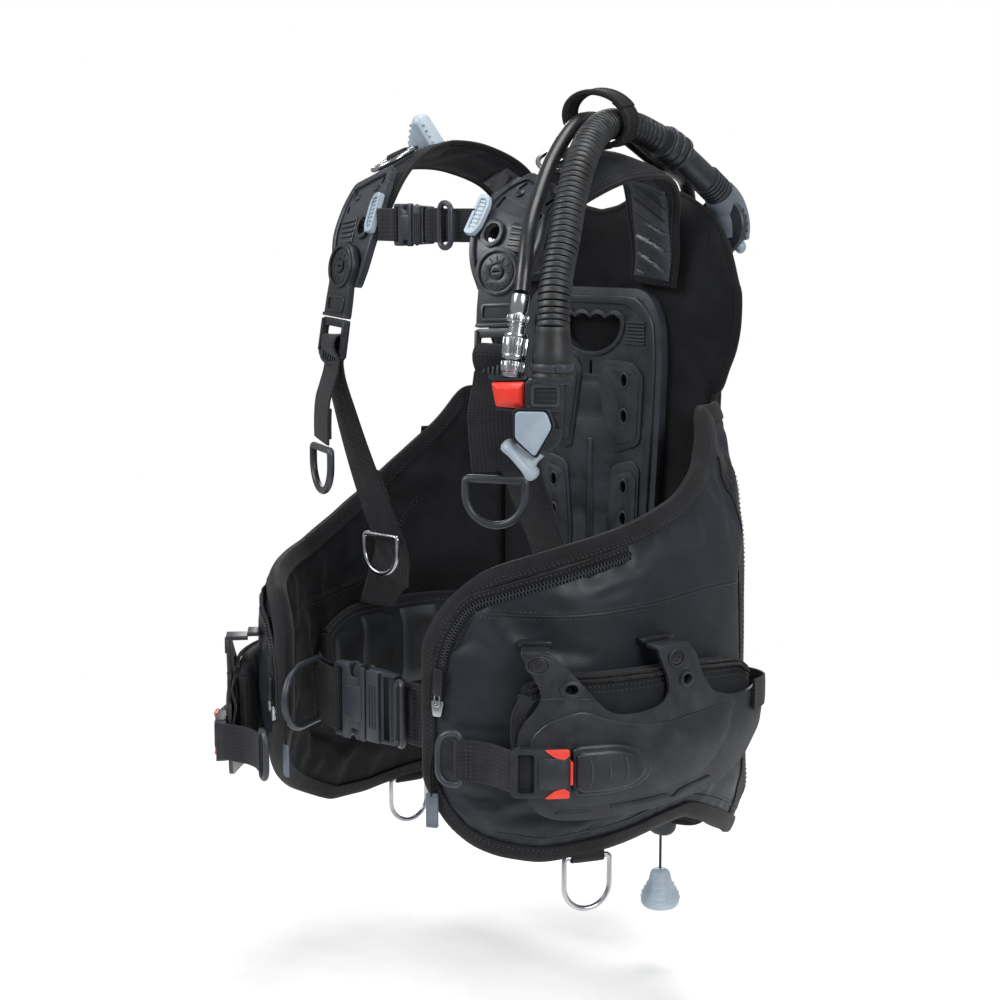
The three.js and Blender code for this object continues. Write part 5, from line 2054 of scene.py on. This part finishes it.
def coupler():
    """The low-pressure hose's quick coupler, and the sleeve that slides back to free it."""
    foot, head = Vector((124, -264, 133.6)), Vector((123.7, -253.4, 192.6))
    place = seat(foot, head - foot, (0.57, -0.82, 0))
    piece = Piece("Hose_coupler", "chrome", place)
    profile = [
        (0, 0), (6.4, 0), (6.9, 0.6), (6.9, 3.6), (7.6, 4.2), (7.6, 11.6), (6.2, 12.6), (6.2, 35.8),
        (7.2, 36.3), (7.2, 37.6), (6.4, 38.2), (6.4, 38.9), (7.3, 39.4), (7.3, 44.8), (6.5, 45.4),
        (6.1, 46.2), (6.6, 47), (6.8, 57.6), (6.2, 59.5), (0, 59.5),
    ]
    piece.put(turned(profile, 40))
    piece.put(knurled(8.6, 4.4, 11.6, 6, 24, 0.7))
    piece.put(knurled(8.2, 39.6, 44.6, 6.4, 28, 0.6, 0.5))
    piece.build("hose_coupler", slot="chrome", crease=40)
    piece = Piece("Coupler_sleeve")
    piece.add(knurled(9.1, 16, 28.6, 6.4, 18, 1.0, 0.7), "chrome", place)
    for low in (13.4, 28.2):
        high = low + 3.2
        edge = ((6.4, low), (8.3, low), (8.7, low + 0.6), (8.7, low + 2.6), (8.3, high), (6.4, high))
        lip = [[(r * math.cos(a), y, r * math.sin(a)) for r, y in edge] for a in turns(40)]
        piece.add(surface(lip, closed=True), "chrome", place)
    piece.build("coupler_sleeve", slot="chrome", crease=40)


def collar():
    """A hook-and-loop band that holds both hoses on the shoulder."""
    along = Vector((-0.12, 0.98, 0.12)).normalized()
    width = Vector((1, 0.1, -0.25))
    width = (width - along * width.dot(along)).normalized()
    place = seat((86, -119, 320), along.cross(width), along)
    turn = [math.radians(mix(-60, 318, i / 60)) for i in range(61)]

    def wound(z):
        """The band's line at a distance along the hoses, growing outwards as it laps over itself."""
        grown = [(1.1 * i / 60, a) for i, a in enumerate(turn)]
        return [place(((27.6 + g) * math.cos(a), (19.4 + g) * math.sin(a), z)) for g, a in grown]

    piece = Piece("Hose_collar")
    piece.add(strip(Path(wound(0)[::2]), lambda t: along, 16, 3.4, steps=90), "nylon")
    for z in (-7.6, 7.6):
        piece.add(tube(wound(z), 2.3, 10), "binding")
    for z in (-6, 6):
        spots = [place((29.9 * math.cos(a), 21.8 * math.sin(a), z)) for a in turn[::3]]
        stitch_line(piece, spots, [p - place((0, 0, z)) for p in spots], pitch=3.2)
    tab = slab(rounded(-10, 10, -7.4, 7.4, 1.6), 19.6, 21.6, soft=0.5)
    piece.add(tab, "nylon", standing(place, 0, 0, 0))
    return piece.build("hose_collar", slot="nylon")


def elbow():
    """The rigid pipe from the hose over the shoulder, and the valve it ends in on the back of the cell."""
    pipe = Path(
        [(100.8, -62, 304), (102, -46, 297), (103, -22, 284), (104, -2, 272), (105, 14, 261), (105, 25, 247)]
    )
    on_pipe = lambda t: seat(pipe.at(t), pipe.tangent(t), (1, 0, 0.3))
    radius = lambda t: 10.8 + 2.4 * ease((0.3 - t) / 0.16) + 1.2 * ease((t - 0.7) / 0.1)
    piece = Piece("Shoulder_elbow")
    piece.add(tube(pipe.points(90), radius, 32), "moulded")
    boot_ring = [(11, -1.8), (13.8, -1.8), (14.4, -1), (14.4, 1), (13.8, 1.8), (11, 1.8)]
    for t in (0.04, 0.12, 0.2):
        piece.add(turned(boot_ring, 36), "rubber", on_pipe(t))
    for n in range(5):
        rib = [(10, -0.8), (12.4, -0.8), (12.4, 0.8), (10, 0.8)]
        piece.add(turned(rib, 36), "moulded", on_pipe(0.6 + 0.035 * n))
    cover = Path([pipe.at(0.78), pipe.at(0.88), pipe.at(0.97), (109, 23, 238), (111, 22, 227)])
    swollen = lambda t: 12.4 + 2.8 * math.sin(math.pi * clamp(0.08 + 0.86 * t))
    piece.add(tube(cover.points(24), swollen, 32), "tag")
    tip = [(4.6 * math.sin(math.pi * i / 12), 5.5 - 5.5 * math.cos(math.pi * i / 12)) for i in range(13)]
    piece.add(turned(tip, 24), "grip", upright(121, 18, 216))
    valve = lambda p: Vector((ELBOW_VALVE[0] + p[0], ELBOW_VALVE[1] + p[1], ELBOW_VALVE[2] - p[2]))
    cap = [(0, 0), (23, 0), (24, 1), (24, 4), (22, 5), (22, 8.4), (20.6, 10.4), (17, 11), (0, 11)]
    piece.add(turned(cap, 56), "moulded", valve)
    piece.add(knurled(23.6, 4.6, 8.4, 20, 24, 1.2, 0.6), "dark", valve)
    # The six dark discs on the cap stand for its holes: painted shade of openings that are not cut.
    for n in range(6):
        a = math.radians(60 * n + 30)
        hole = circle(14 * math.cos(a), 14 * math.sin(a), 2.2, 16)
        piece.add(slab(hole, 10.4, 11.5, soft=0.3), "dark", standing(valve, 0, 0, 0))
    return piece.build("shoulder_elbow", slot="moulded")


def shoulder_knob():
    """A pinched triangular knob with raised dots, on a stub of its cord."""
    place = seat((-120, -97, 301.5), (0, -0.3, 0.95), (0, -0.95, -0.3))
    middle = 12.5
    outline = [*arc(0, 24, 6, 6, 30, 150, 9), *arc(-13, 4, 4, 4, 150, 270, 7), *arc(13, 4, 4, 4, -90, 30, 7)]
    shrunk = lambda share: [(x * share, middle + (y - middle) * share) for x, y in outline]
    levels = ((-8, 0.72), (-5.4, 0.94), (-3, 1), (3, 1), (5.2, 0.94), (8, 0.7))
    piece = Piece("Shoulder_dump_knob")
    piece.add(surface([[(x, y, z) for x, y in shrunk(share)] for z, share in levels]), "grip", place)
    piece.add(tube([place((0, y, 0)) for y in (2, -6, -14)], 1.5, 10), "thread")
    piece.add(slab(shrunk(0.66), 7.4, 8.2, soft=0.3), "grip", place)
    dots = [(sign * mix(13.6, 7.2, n / 3), mix(7.5, 22, n / 3), 5.4) for sign in (-1, 1) for n in range(4)]
    dots += [(mix(-9, 9, n / 3), 2.6, 5.6) for n in range(4)]
    for dot in dots:
        piece.add(turned([(0, 0), (1.5, 0), (1.2, 0.9), (0, 1.3)], 14), "grip", standing(place, *dot))
    return piece.build("shoulder_dump_knob", slot="grip", crease=40)


def valve_seats():
    """The lower dump valve's flat body, which the cord comes out of."""
    piece = Piece("Lower_dump_valve")
    place = lambda p: Vector((65 + p[0], -4.6 + p[2] * 0.62, -278 + p[1]))
    body = [(2.2, 0), (8, 0), (11, 1.6), (14, 5), (15, 9), (15, 14.6), (2.2, 14.6)]
    piece.add(turned(body, 40), "moulded", place)
    piece.build(body="vest", slot="moulded")


inflator_body()
buttons()
mouthpiece()
coupler()
collar()
elbow()
shoulder_knob()
valve_seats()


# ---- Back of the air cell, back plate, tank seat and tank band ----

CELL_REAR = [(50, -6.3), (60, -4), (72, 2), (85, 8), (100, 10), (115, 8), (125, 4), (134, 0)]
CELL_TOP = [
    (0, 250), (20, 254), (35, 262), (60, 270), (80, 264), (95, 255), (110, 243), (120, 228), (128, 208),
    (134, 182),
]
CELL_WING = [(108.4, 99), (116, 106), (123, 122), (130, 138), (134, 158)]
CELL_FRONT, CELL_FOOT, CELL_SEAM, CELL_HALF = -15.7, -262, 107.6, 134
PLATE_Y, BAND_LEVEL = -22, -85


def cell_section(x):
    """The cell's front, rear, bottom and top at a distance from its middle."""
    x = abs(x)
    front = mix(CELL_FRONT, -6, clamp((x - 90) / 44))
    low = CELL_FOOT if x < CELL_SEAM + 0.2 else read(CELL_WING, x)
    return front, read_soft(CELL_REAR, x, 5), low, read_soft(CELL_TOP, x, 6)


def cell_back():
    """The back of the cell: thin at its edges, and quilted along a line on each side of the plate."""
    near_edge = [CELL_SEAM, 108.4, 111, 114, 117, 120, 123, 126, 129, 131.5, CELL_HALF]
    stations = {x / 2 for x in range(0, 215, 8)} | set(near_edge)
    stations = sorted({-x for x in stations} | stations)
    rows = 74
    rings, firm = [], []
    for x in stations:
        front, rear, low, high = cell_section(x)
        levels = [mix(low, high, j / rows) for j in range(rows + 1)]
        near = [min(z - low, high - z, (CELL_HALF - abs(x)) * 2) for z in levels]
        squeeze = [0.34 + 0.66 * math.sin(math.pi / 2 * clamp(d / 22)) for d in near]
        middle, half = (front + rear) / 2, (rear - front) / 2
        ahead = [(x, middle - half * s, z) for z, s in zip(levels, squeeze)]
        behind = [(x, middle + half * s, z) for z, s in zip(levels, squeeze)]
        rings.append([*ahead, *reversed(behind)])
        seam = ease((24 - abs(abs(x) - 40)) / 10) if abs(x) < 60 else 0
        share = [max(1 - ease((d - 8) / 14), 0.85 * seam) for d in near]
        firm += [1.0] * len(levels) + list(reversed(share))
    piece = Piece("Air_cell_back")
    piece.add(surface(rings), "nylon")
    padded_piece(piece, "air_cell_back", firm, pressure=2.5, slack=0.02, cap=1.8)


def cell_edge():
    """The cell's outline as (x, z): from the left wing over the top to the right wing, and then the foot."""
    xs = [CELL_HALF - 2 * i for i in range(CELL_HALF + 1)]
    top = [(x, cell_section(x)[3] - 2) for x in xs]
    wing = [(x, z + 2) for x, z in CELL_WING]
    left, right = [(108.4, 99), *wing], [(-x, z) for x, z in reversed([(108.4, 99), *wing])]
    below = [
        (-CELL_SEAM + 1, 96), (-CELL_SEAM + 1, -120), (-CELL_SEAM + 1, -250), (-100, CELL_FOOT + 2),
        (0, CELL_FOOT + 2), (100, CELL_FOOT + 2), (CELL_SEAM - 1, -250), (CELL_SEAM - 1, -120),
        (CELL_SEAM - 1, 96),
    ]
    return left + top + right + below


def cell_trim():
    piece = Piece("Air_cell_back_trim")
    edge = spread([*cell_edge(), cell_edge()[0]], 3)[:-1]

    def level(x):
        front, rear, _, _ = cell_section(x)
        return (front + rear) / 2

    piece.add(tube([Vector((x, level(x), z)) for x, z in edge], 3.3, 12, closed=True), "binding")
    for sign in (-1, 1):
        for x, low, high in ((62, -236, 244), (98, -236, 70)):
            rear = cell_section(x)[1]
            for gap in (-1.6, 1.6):
                line = [Vector((sign * x + gap, rear + 0.6, z)) for z, _ in spread([(low, 0), (high, 0)], 4)]
                stitch_line(piece, line, [Vector((0, 1, 0))] * len(line))
    arch = [(-92, 226), (-60, 246), (-35, 238), (0, 228), (35, 238), (60, 246), (92, 226)]
    for face in (-1, 1):
        line = [
            Vector((x, (cell_section(x)[0 if face < 0 else 1]) * 0.86 + face * 1.2, z))
            for x, z in spread(arch, 4)
        ]
        stitch_line(piece, line, [Vector((0, face, 0))] * len(line))
    return piece.build(body="vest", slot="nylon")


def side_gusset(side):
    """The rolled seam that joins a lobe's rear edge to the back of the cell."""
    flip = SIGN[side]
    x, y, top, foot = 112, -4.2, 103, -258
    line = [Vector((flip * x, y, mix(top, foot, i / 60))) for i in range(61)]
    piece = Piece(f"Side_gusset_{side}")
    piece.add(tube(line, lambda t: 5.4 * min(1, 0.4 + 9 * min(t, 1 - t)), 16), "binding")
    for x, y, out in ((115, 0.6, (0.5, 0.87, 0)), (109, -9, (-0.5, -0.87, 0))):
        seam = [Vector((flip * x, y, p.z)) for p in line[2:-2]]
        stitch_line(piece, seam, [Vector((flip * out[0], out[1], 0))] * len(seam))
    return piece.build(body="vest", slot="nylon")


def plate_outline(inset=0.0):
    half = [(46, -125), (56, -108), (66, -40), (72, 60), (75, 130), (73, 160), (64, 180), (52, 187)]
    if inset:
        half = [(x - inset, z + (inset if z < -100 else -inset if z > 170 else 0)) for x, z in half]
    return round_corners(mirrored(half), 9, 5)


def back_plate():
    """The moulded plate: a finger grip, eyelets, ribbed patches, and swollen panels beside a channel."""
    place = lambda p: Vector((p[0], PLATE_Y - p[2], p[1]))
    teeth = [(x, 161.5 + 3.6 * abs(math.sin(math.pi * (x + 32) / 16))) for x in range(32, -33, -2)]
    grip = [*arc(0, 158, 33, 25, 180, 360, 25), *teeth]
    collar_line = [*arc(0, 158, 36.4, 28.4, 180, 360, 25), *[(x * 1.1, z + 3.6) for x, z in teeth]]
    eyelets = {"low": [(38, 22), (38, -5)], "high": [(38, 111), (38, 81)]}
    panels = {
        "low": [(24, -100), (40, -104), (50, -60), (54, 38), (46, 45), (24, 39), (19, -20)],
        "high": [(20, 52), (27, 50), (54, 58), (57, 116), (46, 127), (14, 127), (9, 118)],
    }
    hole = lambda x, z, grow=0.0: oval(x, z, 3 + grow, 5 + grow, 24)
    spots = [(sign * x, z) for sign in (-1, 1) for row in eyelets.values() for x, z in row]
    slot = rounded(-1.6, 1.6, 114, 126, 1.5)
    rivet = [(0, 0), (4, 0), (3.8, 1.4), (2, 1.9), (0, 1.9)]
    piece = Piece("Back_plate", "moulded", place)
    piece.put(slab(plate_outline(), -6, 2.6, [grip, slot, *[hole(x, z) for x, z in spots]], soft=1.0))
    piece.put(slab(plate_outline(6), 2, 5.2, [plate_outline(13)], soft=1.5, steps=3))
    piece.put(slab(collar_line, 2, 4.4, [grip], soft=0.9))
    for x, z in spots:
        piece.put(slab(hole(x, z, 2), 2, 6.2, [hole(x, z)], soft=0.5))
    for sign in (-1, 1):
        for level, panel in panels.items():
            line = round_corners([(sign * x, z) for x, z in (panel if sign > 0 else reversed(panel))], 7, 4)
            middle = Vector((sum(x for x, _ in line) / len(line), sum(z for _, z in line) / len(line)))
            inner = [tuple(middle.lerp(Vector(p), 0.86)) for p in line]
            gaps = [hole(sign * x, z, 0.4) for x, z in eyelets[level]]
            piece.put(slab(line, 2, 4.6, gaps, soft=1.4, steps=3))
            piece.put(slab(inner, 4, 5.6, gaps, soft=0.9, steps=3))
        for n in range(7):
            z = 141 + n * 2.9
            piece.put(slab(rounded(sign * 48 - 10, sign * 48 + 10, z, z + 1.7, 0.8), 2, 4.2, soft=0.6))
        for z in (-112, 176):
            piece.add(turned(rivet, 22), "dark", standing(place, sign * (40 if z < 0 else 48), z, 2.4))
    piece.put(slab(round_corners([(-5, -100), (5, -100), (3.4, 60), (-3.4, 60)], 2), 2, 3.4, soft=0.6))
    return piece.build("back_plate", slot="moulded")


def tank_pad():
    """A rubber seat with ridges that bear on the tank."""
    place = upright(0, 0, 0)
    piece = Piece("Tank_pad", "rubber", place)
    outline, hollow = rounded(-48, 48, -50, 110, 8, 6), rounded(-43, 43, -45, 105, 6, 6)
    piece.put(slab(outline, -6, -2.4, soft=0.9))
    piece.put(slab(outline, -2.8, -0.4, [hollow], soft=0.7))
    for n in range(11):
        z = -40 + n * 13
        for sign in (-1, 1):
            bar = round_corners(
                [(sign * 4, z), (sign * 40, z + 5), (sign * 40, z + 11), (sign * 4, z + 6)], 1.6,
            )
            piece.put(slab(bar, -2.8, 0, soft=0.8))
    return piece.build("tank_pad", slot="rubber")


def tank_band():
    """Webbing that passes through the cam buckle, sewn down at its ends."""
    spots = [-104, -85, -72, -60, -50, -30, 0, 30, 50, 60, 72, 85, 104]
    path = Path([(x, read(CELL_REAR, abs(x)) + 2.4, BAND_LEVEL) for x in spots])
    piece = Piece("Tank_band")
    piece.add(strip(path, lambda t: (0, 0, 1), WEBBING["waist"], WEBBING["thick"], steps=70), "webbing")
    for sign in (-1, 1):
        place = lambda p: Vector((sign * p[1], read(CELL_REAR, p[1]) + 3.5 + p[2], BAND_LEVEL + p[0]))
        box_stitch(piece, place, 20, 80, 98, 0.1)
    return piece.build("tank_band", slot="webbing")


def cam_buckle():
    place = upright(0, 0, BAND_LEVEL)
    piece = Piece("Cam_buckle_frame")
    slots = [rounded(a, b, -22, 22, 1.4) for a, b in ((-27, -23), (-17, -12.5), (14, 18.5), (23, 27))]
    piece.add(slab(rounded(-31, 31, -28, 28, 5, 5), -1, 2.6, slots, soft=0.9), "moulded", place)
    for sign in (-1, 1):
        cheek = rounded(-30, -21, sign * 26 - 1.8, sign * 26 + 1.8, 1)
        piece.add(slab(cheek, 2, 7, soft=0.8), "moulded", place)
    piece.build("cam_buckle_frame", slot="moulded")
    piece = Piece("Cam_buckle_lever", "moulded", place)
    outline = round_corners([(-26, -23.4), (14, -25), (30, -17), (30, 17), (14, 25), (-26, 23.4)], 5, 5)
    piece.put(slab(outline, 4.2, 7.2, [rounded(-14, -9, -18, 18, 1.4)], soft=0.9))
    piece.add(tube([place((-23.6, z, 6)) for z in (-23, -11, 0, 11, 23)], 2.0, 16), "steel")
    for n in range(5):
        x = 8 + n * 3.6
        piece.put(slab(rounded(x, x + 1.5, -15 + n, 15 - n, 0.7), 6.8, 8, soft=0.4))
    piece.put(slab(round_corners([(-6, -19), (4, -19), (4, 19), (-6, 19)], 3), 6.8, 7.8, soft=0.5))
    piece.build("cam_buckle_lever", slot="moulded")


cell_back()
cell_trim()
for side in SIDES:
    side_gusset(side)
back_plate()
tank_pad()
tank_band()
cam_buckle()


# ---- What is left of the CAD model ----

NODE_SLOT = {p["node"]: p["material_slot"] for p in frame["record"]["subparts"]}
for node, shown in frame["nodes"].items():
    if not shown.hide_render:
        shown.data.materials.clear()
        shown.data.materials.append(material(NODE_SLOT[node]))

stage_camera()
stage_light()
stage_floor()
